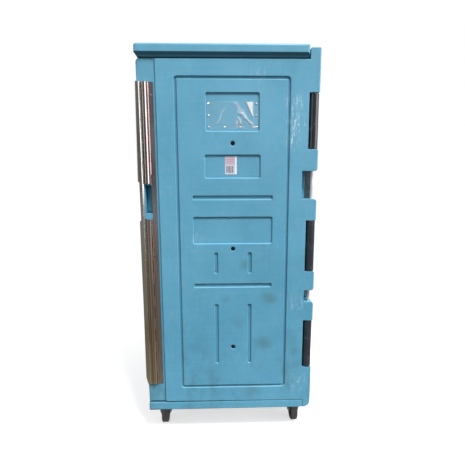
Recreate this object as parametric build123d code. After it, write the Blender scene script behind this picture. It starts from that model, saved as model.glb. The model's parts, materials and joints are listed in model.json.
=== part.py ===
"""Insulated food carrier: a tall foam-filled roll cabinet with one full-height door.

Sizes are millimetres, +Z is up and the door faces -Y. The drawing frame has X = 0 at the middle of
the door, Y = 0 on the door's face and Z = 0 on the floor. save() moves every piece so that the
origin is on the floor under the middle of the whole object's box.
"""
from build123d import *
import math
import os

# ------------------------------------------------------------------ overall sizes
WIDTH = 724.0
DEPTH = 800.0
HEIGHT = 1668.0
CASTER_HEIGHT = 128.0

# ------------------------------------------------------------------ cabinet
SKIN = 5.0
SIDE_WALL = 60.0
BACK_WALL = 60.0
FLOOR_THICK = 67.0
ROOF_THICK = 88.0
CORNER_R = 38.0
CABIN_R = 26.0
PLINTH_HEIGHT = 35.0
RIM_HEIGHT = 52.0
NOSE_HEIGHT = 32.0
NOSE_REACH = 10.0
RIM_OVERHANG = 4.0
RIM_END_UNDERCUT = 18.0
RIM_END_R = 12.0
SIDE_PANEL_INSET = 95.0
SIDE_RIB_COUNT = 3

# ------------------------------------------------------------------ door
DOOR_THICK = 58.0
SEAL_GAP = 6.0
GAP_BELOW_DOOR = 3.0
GAP_ABOVE_DOOR = 2.0
EDGE_R = 6.0
PLUG_DEPTH = 22.0
PLUG_CLEAR = 8.0
GASKET_WIDTH = 12.0
GASKET_SET_BACK = 3.0
GASKET_CLEAR = 0.3
STRIP_WIDTH = 75.0
STRIP_CORNER_R = 14.0
STRIP_STEP = 4.0

# ------------------------------------------------------------------ hinge
AXIS_INSET = 19.5
BARREL_R = 19.0
BARREL_LENGTH = 217.0
BARREL_SHARES = (0.184, 0.487, 0.839)
BARREL_CLEAR = 1.0
NOTCH_CLEAR = 4.5
PIN_R = 6.0
PIN_RUNNING_CLEAR = 0.05
PIN_SET_IN = 27.0
WIDE_GAP_SHARE = 0.6637
WIDE_GAP_HEIGHT = 114.0
WIDE_GAP_EXTRA = 21.0
WIDE_GAP_DEPTH = 44.0
NARROW_GAP_SHARE = 0.3356
NARROW_GAP_HEIGHT = 52.0
GAP_CORNER_R = 14.0
BARREL_CORNER_R = 7.0
TOP_EAR_HEIGHT = 43.0
TOP_EAR_LEFT = 22.5
TOP_EAR_R = 30.0
BOTTOM_EAR_R = 24.0
BOTTOM_CORNER_R = 34.0
EAR_CLEAR = 1.6
POST_SEAL_CLEAR = 4.0
POST_WALL = 3.0
POST_INSET = 6.0
POST_CLEAR = 2.0
FLANGE_THICK = 5.0
FLANGE_HEIGHT = 140.0
WEB_HEIGHT = 90.0
WEB_LEFT = 8.0
WEB_RIGHT = 2.0
WEB_BITE = 7.0
BRACKET_BOLT_R = 4.0
BRACKET_HEAD_R = 6.5
BRACKET_HEAD_HEIGHT = 5.0
BRACKET_BOLT_OUT = 57.0

# ------------------------------------------------------------------ relief on the door's face
RELIEF_DEPTH = 5.0
RELIEF_DRAFT = 32.0
PANEL_LEFT_INSET = 76.0
PANEL_RIGHT_INSET = 123.0
PANEL_TOP_INSET = 69.0
PANEL_BOTTOM_INSET = 72.0
GROOVE_WIDTH = 13.0
GROOVE_CORNER_R = 9.0
WIDE_MARGIN = 59.5
SLOT_HEIGHT = 18.5
SLOT_CORNER_R = 6.0
CARD_RECESS = (216.0, 150.0)
CARD_SHARE = 0.8626
STICKER_RECESS = (228.0, 95.0)
STICKER_SHARE = 0.7158
LOW_RECESS_HEIGHT = 115.0
LOW_RECESS_SHARE = 0.535
RECESS_CORNER_R = 9.0
SLOT_SHARES = (0.6288, 0.3709)
SLOT_PAIR_SPACING = 142.0
SLOT_PAIR_WIDTH = 17.0
UPPER_PAIR = (91.0, 0.4389)
LOWER_PAIR = (273.0, 0.2193)
HOLE_R = 9.0
HOLE_CHAMFER = 2.0
HOLE_DEPTH = 13.0
HOLE_SHARES = (0.779, 0.4808, 0.1778)
HOLE_PLUG_THICK = 5.0

# ------------------------------------------------------------------ card pocket and sticker
POCKET_SIZE = (206.0, 106.0)
POCKET_DROP = 12.0
POCKET_SHEET = 1.2
POCKET_RAISE = 3.2
POCKET_RIM = 17.0
RIVET_R = 3.5
RIVET_HEAD = 1.6
RIVET_SHANK_R = 1.9
RIVET_SHANK = 3.5
RIVET_EDGE = 8.0
RIVET_ROWS = 3
RIVET_FOOT_SPACING = 61.0
RIVET_CLEAR = 0.1
STICKER_SIZE = (48.0, 72.0)
STICKER_THICK = 0.4
STICKER_LEFT = 7.0
STICKER_LIFT = 5.0

# ------------------------------------------------------------------ latch
LATCH_TOP_INSET = 86.0
LATCH_BOTTOM_INSET = 90.0
LATCH_HINGE_INSET = 44.0
LATCH_REACH = 7.5
SHEET = 2.0
KNUCKLE_R = 3.4
LATCH_PIN_R = 1.6
LATCH_PIN_CLEAR = 0.08
KNUCKLE_COUNT = 25
KNUCKLE_CLEAR = 0.5
LEAF_WIDTH = 17.5
RIDGE_HEIGHT = 9.0
WINDOW_SHARE = 0.6335
WINDOW_HEIGHT = 146.0
WINDOW_INSET = 23.0
WINDOW_CORNER_R = 5.0
WINDOW_HINGE_CLEAR = 4.0
GRIP_STEP = 6.5
FINGER_RECESS = (27.0, 115.0, 34.0)
FINGER_RECESS_SIDE = 2.5
FINGER_RECESS_LIFT = 9.0
HOOK_LIP = 2.0
HOOK_GAP = 5.0
END_TAPER = (10.0, 42.0)
LATCH_SCREW_SHARES = (0.03, 0.55, 0.62, 0.71, 0.96)
LATCH_SCREW_R = 4.0

# ------------------------------------------------------------------ strike
STRIKE_WIDTH = 34.0
STRIKE_SHEET = 2.0
STRIKE_SET_BACK = 6.0
LIP_CLEAR = 1.1
BEAD_WIDTH = 9.0
STRIKE_CLEAR_OF_GRIP = 30.0
STRIKE_END_INSET = 40.0
STRIKE_SCREWS = 4

# ------------------------------------------------------------------ tray rack
RACK_LEVELS = 10
POST_CHANNEL = (26.0, 10.0)
CHANNEL_SHEET = 2.0
RACK_STAND_OFF = 4.0
RACK_END_INSET = 90.0
RACK_FLOOR_GAP = 16.0
RUNNER_WIDTH = 24.0
RUNNER_DROP = 16.0
FIRST_LEVEL = 70.0
LAST_LEVEL_BELOW_TOP = 110.0
STUD_R = 4.8
STUD_HEAD_R = 8.0
STUD_HEAD = 2.0
STUD_END_INSET = 100.0

# ------------------------------------------------------------------ casters
PLATE_SIZE = (86.0, 104.0)
PLATE_THICK = 4.0
PLATE_SIDE_INSET = 56.0
PLATE_END_INSET = 76.0
HOUSING_R = 33.0
HOUSING_HEIGHT = 10.0
SWIVEL_CLEAR = 0.5
CROWN_THICK = 6.0
WHEEL_R = 50.0
TYRE_WIDTH = 32.0
TYRE_THICK = 9.0
TRAIL = 28.0
LEG_THICK = 4.0
LEG_CLEAR = 2.0
KINGPIN_R = 6.0
AXLE_R = 5.0
RUNNING_CLEAR = 0.05
CASTER_BOLT_R = 4.0
CASTER_HEAD_R = 7.0
CASTER_HEAD_HEIGHT = 5.0
CASTER_BOLT_INSET = 11.0
FRONT_LEFT_SWIVEL = 4.0

# ------------------------------------------------------------------ worked-out places
LEFT = -WIDTH / 2
RIGHT = WIDTH / 2
FRONT = DOOR_THICK + SEAL_GAP
BACK = DEPTH
BASE = CASTER_HEIGHT
TOP = HEIGHT
PLINTH_TOP = BASE + PLINTH_HEIGHT
RIM_BOTTOM = TOP - RIM_HEIGHT
NOSE_BOTTOM = TOP - NOSE_HEIGHT
DOOR_BOTTOM = PLINTH_TOP + GAP_BELOW_DOOR
DOOR_TOP = RIM_BOTTOM - GAP_ABOVE_DOOR
CABIN_HALF = WIDTH / 2 - SIDE_WALL
CABIN_BACK = BACK - BACK_WALL
CABIN_FLOOR = BASE + FLOOR_THICK
CABIN_TOP = TOP - ROOF_THICK
AXIS_X = RIGHT - AXIS_INSET
AXIS_Y = AXIS_INSET
NOTCH_LEFT = AXIS_X - BARREL_R - NOTCH_CLEAR
POST_SIZE = SIDE_WALL - POST_INSET - GASKET_SET_BACK - GASKET_WIDTH - POST_SEAL_CLEAR
POST_RIGHT = RIGHT - POST_INSET
POST_LEFT = POST_RIGHT - POST_SIZE
POST_MID = (POST_LEFT + POST_RIGHT) / 2
SEAM = LEFT + STRIP_WIDTH
PANEL_LEFT = SEAM + PANEL_LEFT_INSET
PANEL_RIGHT = RIGHT - PANEL_RIGHT_INSET
PANEL_MID = (PANEL_LEFT + PANEL_RIGHT) / 2
PANEL_HALF = (PANEL_RIGHT - PANEL_LEFT) / 2
PANEL_TOP = DOOR_TOP - PANEL_TOP_INSET
PANEL_BOTTOM = DOOR_BOTTOM + PANEL_BOTTOM_INSET
LATCH_TOP = DOOR_TOP - LATCH_TOP_INSET
LATCH_BOTTOM = DOOR_BOTTOM + LATCH_BOTTOM_INSET
LATCH_X = LEFT + LATCH_HINGE_INSET
LATCH_Y = STRIP_STEP - KNUCKLE_R
LATCH_OUTER = LEFT - LATCH_REACH
WINDOW_Z = LATCH_BOTTOM + WINDOW_SHARE * (LATCH_TOP - LATCH_BOTTOM)
BEAD_OUT = LATCH_REACH - SHEET / 2 - HOOK_LIP - LIP_CLEAR
WINDOW_LEFT = LATCH_OUTER + WINDOW_INSET
WINDOW_RIGHT = LATCH_X + KNUCKLE_R + KNUCKLE_CLEAR
RACK_X = CABIN_HALF - RACK_STAND_OFF - POST_CHANNEL[1]
ORIGIN = (
    (LATCH_OUTER + RIGHT + RIM_OVERHANG) / 2,
    (BACK + RIM_OVERHANG - NOSE_REACH) / 2,
    0.0,
)


def up(share):
    """Return the height that lies this share of the way up the door."""
    return DOOR_BOTTOM + share * (DOOR_TOP - DOOR_BOTTOM)


def block(x0, x1, y0, y1, z0, z1):
    """Return a box between two corners."""
    return Pos((x0 + x1) / 2, (y0 + y1) / 2, (z0 + z1) / 2) * Box(x1 - x0, y1 - y0, z1 - z0)


def upright(x, y, z0, z1, radius):
    """Return a vertical cylinder between two heights."""
    return Pos(x, y, (z0 + z1) / 2) * Cylinder(radius, z1 - z0)


def rod_y(x, z, y0, y1, radius):
    """Return a cylinder along Y between two depths."""
    return Pos(x, (y0 + y1) / 2, z) * Rot(90, 0, 0) * Cylinder(radius, y1 - y0)


def rod_x(y, z, x0, x1, radius):
    """Return a cylinder along X between two sides."""
    return Pos((x0 + x1) / 2, y, z) * Rot(0, 90, 0) * Cylinder(radius, x1 - x0)


def prism_x(points, x0, x1):
    """Return the outline given as (y, z) points, carried along X."""
    face = Plane.YZ * Polygon(*points, align=None)
    return Pos(x0, 0, 0) * extrude(face, x1 - x0, dir=(1, 0, 0))


def elevation(face, y0, y1):
    """Return a flat outline, drawn in (x, z), as a solid between two depths."""
    return Pos(0, y0, 0) * extrude(Plane.XZ * face, y1 - y0, dir=(0, 1, 0))


def save(node, *pieces):
    """Move the pieces into the row frame and write them as one node."""
    moved = [Pos(-ORIGIN[0], -ORIGIN[1], -ORIGIN[2]) * solid for piece in pieces for solid in piece.solids()]
    shape = moved[0] if len(moved) == 1 else Compound(children=moved)
    export_step(shape, os.path.join("parts", node + ".step"))


# ------------------------------------------------------------------ cabinet
def rim():
    """Return the roof rim: a slab whose nose hangs over the door, undercut at 45 degrees."""
    slab = block(LEFT - RIM_OVERHANG, RIGHT + RIM_OVERHANG, -NOSE_REACH, BACK + RIM_OVERHANG, NOSE_BOTTOM, TOP)
    slab = fillet(slab.edges().filter_by(Axis.Z).group_by(Axis.Y)[-1], CORNER_R)
    slab = fillet(slab.edges().filter_by(Axis.Z).group_by(Axis.Y)[0], 2 * EDGE_R)
    slab = fillet(slab.faces().sort_by(Axis.Z)[-1].edges(), 1.5 * EDGE_R)
    undercut = NOSE_BOTTOM - RIM_BOTTOM
    wedge = prism_x(
        [(-NOSE_REACH, NOSE_BOTTOM), (undercut - NOSE_REACH, RIM_BOTTOM), (FRONT, RIM_BOTTOM), (FRONT, NOSE_BOTTOM)],
        LEFT - RIM_OVERHANG,
        RIGHT + RIM_OVERHANG,
    )
    end = [
        (LEFT - 2 * RIM_OVERHANG, RIM_BOTTOM - 1),
        (LEFT + RIM_END_UNDERCUT, RIM_BOTTOM - 1),
        (LEFT + RIM_END_UNDERCUT, RIM_BOTTOM),
        (LEFT - RIM_OVERHANG, NOSE_BOTTOM),
        (LEFT - 2 * RIM_OVERHANG, NOSE_BOTTOM),
    ]
    wedge -= elevation(Polygon(*end, align=None), -2 * NOSE_REACH, FRONT)
    return slab + wedge


def rim_end():
    """Return what is cut off the rim for the upper ear, and to round the end that it leaves."""
    end = AXIS_X - TOP_EAR_LEFT - 2 * EAR_CLEAR
    centre = end - RIM_END_R
    low = RIM_BOTTOM - 1
    cut = block(end, RIGHT + 2 * RIM_OVERHANG, -2 * NOSE_REACH, FRONT, low, TOP + 1)
    upright_edge = block(centre, end + 1, -NOSE_REACH - 1, RIM_END_R - NOSE_REACH, low, TOP + 1)
    upright_edge -= upright(centre, RIM_END_R - NOSE_REACH, low - 1, TOP + 2, RIM_END_R)
    top_edge = block(centre, end + 1, -NOSE_REACH - 1, FRONT, TOP - RIM_END_R, TOP + 1)
    top_edge -= rod_y(centre, TOP - RIM_END_R, -NOSE_REACH - 2, FRONT + 1, RIM_END_R)
    return [cut, upright_edge, top_edge]


def hinge_room(z0, z1, radius):
    """Return the space that the door's ear sweeps between two heights."""
    return upright(AXIS_X, AXIS_Y, z0, z1, radius + EAR_CLEAR)


def post_room():
    """Return the corner channel that the hinge post stands in."""
    return block(
        POST_LEFT - POST_CLEAR, RIGHT + 1, FRONT - 1, FRONT + POST_SIZE + POST_CLEAR, PLINTH_TOP, RIM_BOTTOM
    )


def side_relief(grow):
    """Return the shallow ribs moulded into both sides and the back, grown by a skin."""
    cuts = []
    low = BASE + SIDE_PANEL_INSET
    high = RIM_BOTTOM - SIDE_PANEL_INSET
    pitch = (BACK - FRONT - 2 * SIDE_PANEL_INSET) / (SIDE_RIB_COUNT + 1)
    half = GROOVE_WIDTH + grow
    deep = RELIEF_DEPTH + grow
    for index in range(SIDE_RIB_COUNT):
        y = FRONT + SIDE_PANEL_INSET + (index + 1) * pitch
        for outside in (LEFT, RIGHT):
            inside = outside - math.copysign(deep, outside)
            over = outside + math.copysign(1, outside)
            cuts.append(block(min(inside, over), max(inside, over), y - half, y + half, low - grow, high + grow))
    spacing = (WIDTH - 2 * SIDE_PANEL_INSET) / (SIDE_RIB_COUNT + 1)
    for index in range(SIDE_RIB_COUNT):
        x = LEFT + SIDE_PANEL_INSET + (index + 1) * spacing
        cuts.append(block(x - half, x + half, BACK - deep, BACK + 1, low - grow, high + grow))
    return cuts


def cabinet_foam():
    """Return the flat-faced foam core of the cabinet, one skin inside every wall."""
    chamfer_size = 0.6 * CORNER_R
    core = block(LEFT + SKIN, RIGHT - SKIN, FRONT + SKIN, BACK - SKIN, BASE + SKIN, TOP - SKIN)
    core = chamfer(core.edges().filter_by(Axis.Z).group_by(Axis.Y)[-1], chamfer_size)
    core -= block(
        -CABIN_HALF - SKIN, CABIN_HALF + SKIN, FRONT - 1, CABIN_BACK + SKIN, CABIN_FLOOR - SKIN, CABIN_TOP + SKIN
    )
    undercut = NOSE_BOTTOM - RIM_BOTTOM
    nose = prism_x(
        [
            (SKIN - NOSE_REACH, TOP - 2 * SKIN),
            (SKIN - NOSE_REACH, NOSE_BOTTOM + 0.5 * SKIN),
            (undercut - NOSE_REACH + 1.5 * SKIN, RIM_BOTTOM + SKIN),
            (FRONT + SKIN, RIM_BOTTOM + SKIN),
            (FRONT + SKIN, TOP - SKIN),
            (0, TOP - SKIN),
        ],
        LEFT + SKIN,
        AXIS_X - TOP_EAR_R - EAR_CLEAR - SKIN,
    )
    plinth = block(
        LEFT + SKIN,
        AXIS_X - BOTTOM_EAR_R - EAR_CLEAR - SKIN,
        SKIN,
        FRONT + SKIN,
        BASE + SKIN,
        PLINTH_TOP - SKIN,
    )
    core = core + nose + plinth
    core -= block(
        POST_LEFT - POST_CLEAR - SKIN,
        RIGHT,
        FRONT,
        FRONT + POST_SIZE + POST_CLEAR + SKIN,
        PLINTH_TOP - SKIN,
        RIM_BOTTOM + SKIN,
    )
    for cut in side_relief(SKIN):
        core -= cut
    return core


def cabinet_shell():
    """Return the moulded skin, outside and inside, with the room that the foam fills left empty."""
    body = block(LEFT, RIGHT, FRONT, BACK, BASE, TOP)
    body = fillet(body.edges().filter_by(Axis.Z).group_by(Axis.Y)[-1], CORNER_R)
    body = fillet(body.faces().sort_by(Axis.Z)[0].edges(), EDGE_R)
    body += block(LEFT, RIGHT, 0, FRONT + CORNER_R, BASE, PLINTH_TOP)
    body += rim()
    cabin = block(-CABIN_HALF, CABIN_HALF, FRONT - 1, CABIN_BACK, CABIN_FLOOR, CABIN_TOP)
    cabin = fillet(cabin.edges().filter_by(Axis.Y), CABIN_R)
    cabin = fillet(cabin.faces().sort_by(Axis.Y)[-1].edges(), CABIN_R)
    body -= cabin
    body -= post_room()
    body -= hinge_room(RIM_BOTTOM - 1, TOP + 1, TOP_EAR_R)
    for cut in rim_end():
        body -= cut
    body -= hinge_room(BASE - 1, PLINTH_TOP + 1, BOTTOM_EAR_R)
    body -= block(AXIS_X, RIGHT + 1, -1, FRONT, BASE - 1, PLINTH_TOP)
    for cut in side_relief(0):
        body -= cut
    return body - cabinet_foam()


def hinge_post():
    """Return the square tube that stands in the corner channel."""
    tube = block(POST_LEFT, POST_RIGHT, FRONT, FRONT + POST_SIZE, PLINTH_TOP, RIM_BOTTOM)
    return tube - block(
        POST_LEFT + POST_WALL,
        POST_RIGHT - POST_WALL,
        FRONT + POST_WALL,
        FRONT + POST_SIZE - POST_WALL,
        PLINTH_TOP - 1,
        RIM_BOTTOM + 1,
    )


def web(z):
    """Return the upright web that joins a bracket to its barrel."""
    return block(
        AXIS_X - WEB_LEFT,
        AXIS_X + WEB_RIGHT,
        AXIS_Y + BARREL_R - WEB_BITE,
        FRONT - FLANGE_THICK,
        z - WEB_HEIGHT / 2,
        z + WEB_HEIGHT / 2,
    )


def hinge_bracket(z):
    """Return one bracket: a flange on the post and a web into the barrel."""
    flange = block(POST_LEFT, POST_RIGHT, FRONT - FLANGE_THICK, FRONT, z - FLANGE_HEIGHT / 2, z + FLANGE_HEIGHT / 2)
    body = flange + web(z)
    for side in (-1, 1):
        hole_z = z + side * BRACKET_BOLT_OUT
        body -= rod_y(POST_MID, hole_z, FRONT - FLANGE_THICK - 1, FRONT + 1, BRACKET_BOLT_R)
    return body


def bracket_bolts(z):
    """Return the two bolts of one bracket, with their heads on the flange."""
    bolts = []
    for side in (-1, 1):
        hole_z = z + side * BRACKET_BOLT_OUT
        head_front = FRONT - FLANGE_THICK - BRACKET_HEAD_HEIGHT
        shank = rod_y(POST_MID, hole_z, FRONT - FLANGE_THICK, FRONT, BRACKET_BOLT_R)
        head = elevation(Pos(POST_MID, hole_z) * RegularPolygon(BRACKET_HEAD_R, 6), head_front, FRONT - FLANGE_THICK)
        bolts.append(head + shank)
    return bolts


def hinge_barrel(z):
    """Return one barrel: a thick tube round the pin, slotted at the back for the web."""
    tube = upright(AXIS_X, AXIS_Y, z - BARREL_LENGTH / 2, z + BARREL_LENGTH / 2, BARREL_R)
    tube = chamfer(tube.edges().filter_by(GeomType.CIRCLE), 1.5)
    bore = upright(AXIS_X, AXIS_Y, z - BARREL_LENGTH, z + BARREL_LENGTH, PIN_R + PIN_RUNNING_CLEAR)
    return tube - bore - web(z)


# ------------------------------------------------------------------ door
def door_outline():
    """Return the door seen from the front, with the notches of its hinge edge."""
    face = Pos((LEFT + RIGHT) / 2, (DOOR_BOTTOM + DOOR_TOP) / 2) * Rectangle(WIDTH, DOOR_TOP - DOOR_BOTTOM)
    room = BARREL_LENGTH / 2 + BARREL_CLEAR
    gaps = [(up(share), room) for share in BARREL_SHARES]
    gaps.append((up(WIDE_GAP_SHARE), WIDE_GAP_HEIGHT / 2))
    gaps.append((up(NARROW_GAP_SHARE), NARROW_GAP_HEIGHT / 2))
    reach = RIGHT - NOTCH_LEFT
    for z, half in gaps:
        face -= Pos(RIGHT - reach / 2 + 0.5, z) * Rectangle(reach + 1, 2 * half)
    outer = [vertex for vertex in face.vertices() if vertex.X > RIGHT - 1]
    at_gap = [v for v in outer for z, half in gaps[3:] if abs(abs(v.Y - z) - half) < 0.01]
    at_barrel = [v for v in outer for z, half in gaps[:3] if abs(abs(v.Y - z) - half) < 0.01]
    face = fillet(at_gap, GAP_CORNER_R)
    at_strip = [v for v in face.vertices() if v.X < LEFT + 1 and v.Y > DOOR_TOP - 1]
    face = fillet(at_strip, STRIP_CORNER_R)
    barrel_corners = [v for v in face.vertices() for w in at_barrel if abs(v.X - w.X) + abs(v.Y - w.Y) < 0.01]
    return fillet(barrel_corners, BARREL_CORNER_R)


def relief_outlines():
    """Return (x, z, width, height, corner radius) of every recess and slot inside the panel's groove."""
    wide = 2 * (PANEL_HALF - WIDE_MARGIN)
    outlines = [
        (PANEL_MID, up(CARD_SHARE), *CARD_RECESS, RECESS_CORNER_R),
        (PANEL_MID, up(STICKER_SHARE), *STICKER_RECESS, RECESS_CORNER_R),
        (PANEL_MID, up(LOW_RECESS_SHARE), wide, LOW_RECESS_HEIGHT, RECESS_CORNER_R),
    ]
    for share in SLOT_SHARES:
        outlines.append((PANEL_MID, up(share), wide, SLOT_HEIGHT, SLOT_CORNER_R))
    for height, share in (UPPER_PAIR, LOWER_PAIR):
        for side in (-1, 1):
            x = PANEL_MID + side * SLOT_PAIR_SPACING / 2
            outlines.append((x, up(share), SLOT_PAIR_WIDTH, height, SLOT_CORNER_R))
    return outlines


def groove_outline(side):
    """Return the outer (1) or inner (-1) outline of the groove round the panel."""
    half = side * GROOVE_WIDTH / 2
    width = 2 * (PANEL_HALF + half)
    height = PANEL_TOP - PANEL_BOTTOM + 2 * half
    return (PANEL_MID, (PANEL_TOP + PANEL_BOTTOM) / 2, width, height, GROOVE_CORNER_R + half)


def grown(outline, by):
    """Return an outline as a flat face, moved outwards by a distance."""
    x, z, width, height, radius = outline
    return Pos(x, z) * RectangleRounded(width + 2 * by, height + 2 * by, max(radius + by, 0.5))


def sloped(outline, side):
    """Return an outline as a solid from just above the face to the relief's floor, with drafted walls."""
    lift = 1.0
    slope = side * math.tan(math.radians(RELIEF_DRAFT))
    top = Pos(0, -lift, 0) * (Plane.XZ * grown(outline, slope * lift))
    floor = Pos(0, RELIEF_DEPTH, 0) * (Plane.XZ * grown(outline, -slope * RELIEF_DEPTH))
    return loft([top, floor], ruled=True)


def relief_cuts():
    """Return the groove, recesses and slots as solids with drafted walls."""
    cuts = [sloped(outline, 1) for outline in relief_outlines()]
    return [sloped(groove_outline(1), 1) - sloped(groove_outline(-1), -1)] + cuts


def hole(share):
    """Return one round hole of the panel, with its chamfered mouth."""
    mouth_depth = HOLE_CHAMFER + 0.5
    mouth = Pos(PANEL_MID, mouth_depth / 2 - 0.5, up(share)) * Rot(90, 0, 0) * Cone(
        HOLE_R, HOLE_R + mouth_depth, mouth_depth
    )
    return rod_y(PANEL_MID, up(share), -1, HOLE_DEPTH, HOLE_R) + mouth


def finger_recess(grow):
    """Return the pocket behind the latch's window, grown by a skin."""
    width, height, depth = FINGER_RECESS
    right = WINDOW_RIGHT - FINGER_RECESS_SIDE
    mid_z = WINDOW_Z + FINGER_RECESS_LIFT
    return block(
        right - width - grow,
        right + grow,
        -1,
        STRIP_STEP + depth + grow,
        mid_z - height / 2 - grow,
        mid_z + height / 2 + grow,
    )


def door_plug(shrink):
    """Return the step at the back of the door that enters the cabin mouth, less a skin."""
    half = CABIN_HALF - PLUG_CLEAR - shrink
    return block(
        -half,
        half,
        DOOR_THICK - 2 * SKIN,
        DOOR_THICK + PLUG_DEPTH - shrink,
        CABIN_FLOOR + PLUG_CLEAR + shrink,
        CABIN_TOP - PLUG_CLEAR - shrink,
    )


def rounding(x, side, y):
    """Return what is cut off to round an upright front edge of the door."""
    centre_x = x - side * EDGE_R
    reach = centre_x + side * (EDGE_R + 1)
    corner = block(min(centre_x, reach), max(centre_x, reach), -1, y + EDGE_R, BASE - 1, TOP)
    return corner - upright(centre_x, y + EDGE_R, BASE - 2, TOP + 1, EDGE_R)


def ears():
    """Return the two ears of the hinge edge, above and below the door, within their swing."""
    top_z = DOOR_TOP + TOP_EAR_HEIGHT
    top = block(AXIS_X - TOP_EAR_LEFT, RIGHT, 0, FRONT, DOOR_TOP - 2 * EDGE_R, top_z)
    top = fillet(top.faces().sort_by(Axis.Z)[-1].edges().filter_by(Axis.Y), EDGE_R)
    top &= upright(AXIS_X, AXIS_Y, DOOR_BOTTOM, top_z + 1, TOP_EAR_R)
    low = block(AXIS_X - BOTTOM_EAR_R, RIGHT, 0, FRONT, BASE, DOOR_BOTTOM + 2 * EDGE_R)
    low = fillet(low.faces().sort_by(Axis.Z)[0].edges().filter_by(Axis.Y).sort_by(Axis.X)[-1:], BOTTOM_CORNER_R)
    low &= upright(AXIS_X, AXIS_Y, BASE - 1, DOOR_TOP, BOTTOM_EAR_R)
    return top + low


def rivet_places():
    """Return the (x, z) place of each rivet of the card pocket."""
    mid_z = up(CARD_SHARE) - POCKET_DROP
    side = POCKET_SIZE[0] / 2 - RIVET_EDGE
    foot = mid_z - POCKET_SIZE[1] / 2 + RIVET_EDGE
    step = (POCKET_SIZE[1] - 2 * RIVET_EDGE) / (RIVET_ROWS - 1)
    places = [(PANEL_MID + s * side, foot + row * step) for s in (-1, 1) for row in range(RIVET_ROWS)]
    places += [(PANEL_MID + s * RIVET_FOOT_SPACING / 2, foot) for s in (-1, 1)]
    return places


def door_foam():
    """Return the flat-faced foam core of the door, one skin inside every wall."""
    right = NOTCH_LEFT - SKIN
    core = block(SEAM + SKIN, right, SKIN, DOOR_THICK - SKIN, DOOR_BOTTOM + SKIN, DOOR_TOP - SKIN)
    core += block(
        LEFT + SKIN,
        SEAM + SKIN,
        STRIP_STEP + SKIN,
        DOOR_THICK - SKIN,
        DOOR_BOTTOM + STRIP_STEP + SKIN,
        DOOR_TOP - SKIN,
    )
    core += door_plug(SKIN)
    core -= finger_recess(SKIN)
    wide_z = up(WIDE_GAP_SHARE)
    wide_half = WIDE_GAP_HEIGHT / 2 + SKIN
    core -= block(NOTCH_LEFT - WIDE_GAP_EXTRA - SKIN, right + 1, 0, WIDE_GAP_DEPTH + SKIN,
                  wide_z - wide_half, wide_z + wide_half)
    behind_pin = AXIS_Y + PIN_R + 2 * SKIN
    edges = sorted(
        [up(share) + side * (BARREL_LENGTH / 2 + BARREL_CLEAR) for share in BARREL_SHARES for side in (-1, 1)]
        + [up(WIDE_GAP_SHARE) + side * WIDE_GAP_HEIGHT / 2 for side in (-1, 1)]
        + [up(NARROW_GAP_SHARE) + side * NARROW_GAP_HEIGHT / 2 for side in (-1, 1)]
        + [DOOR_BOTTOM, DOOR_TOP]
    )
    for low, high in zip(edges[0::2], edges[1::2]):
        core += block(right - 1, RIGHT - 1.2 * SKIN, behind_pin, DOOR_THICK - SKIN, low + SKIN, high - SKIN)
    deep = RELIEF_DEPTH + SKIN
    for outline in relief_outlines():
        core -= elevation(grown(outline, SKIN), -1, deep)
    groove = grown(groove_outline(1), SKIN) - grown(groove_outline(-1), -SKIN)
    core -= elevation(groove, -1, deep)
    for share in HOLE_SHARES:
        core -= rod_y(PANEL_MID, up(share), 0, HOLE_DEPTH + SKIN, HOLE_R + SKIN)
    return core


def door_shell():
    """Return the door's moulded skin with its relief, blocks, ears and plug."""
    body = elevation(door_outline(), 0, DOOR_THICK)
    step = block(LEFT - 1, SEAM, -1, STRIP_STEP, DOOR_BOTTOM - 1, DOOR_TOP + 1)
    step += block(LEFT - 1, SEAM, -1, DOOR_THICK + 1, DOOR_BOTTOM - 1, DOOR_BOTTOM + STRIP_STEP)
    body -= step
    body += ears()
    body -= rounding(LEFT, -1, STRIP_STEP)
    body -= rounding(RIGHT, 1, 0)
    body += door_plug(0)
    wide_z = up(WIDE_GAP_SHARE)
    body -= block(
        NOTCH_LEFT - WIDE_GAP_EXTRA,
        NOTCH_LEFT + 1,
        -1,
        WIDE_GAP_DEPTH,
        wide_z - WIDE_GAP_HEIGHT / 2,
        wide_z + WIDE_GAP_HEIGHT / 2,
    )
    body -= finger_recess(0)
    for cut in relief_cuts():
        body -= cut
    for share in HOLE_SHARES:
        body -= hole(share)
    body -= upright(AXIS_X, AXIS_Y, DOOR_BOTTOM + PIN_SET_IN, DOOR_TOP - PIN_SET_IN, PIN_R)
    for x, z in rivet_places():
        body -= rod_y(x, z, 0, RELIEF_DEPTH + RIVET_SHANK, RIVET_SHANK_R)
    return body - door_foam()


def door_gasket():
    """Return the seal: a square-section ring round the cabin mouth, just clear of the cabinet."""
    inner = (CABIN_HALF + GASKET_SET_BACK, CABIN_FLOOR - GASKET_SET_BACK, CABIN_TOP + GASKET_SET_BACK)
    back = FRONT - GASKET_CLEAR
    outer = block(
        -inner[0] - GASKET_WIDTH,
        inner[0] + GASKET_WIDTH,
        DOOR_THICK,
        back,
        inner[1] - GASKET_WIDTH,
        inner[2] + GASKET_WIDTH,
    )
    return outer - block(-inner[0], inner[0], DOOR_THICK - 1, back + 1, inner[1], inner[2])


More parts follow.
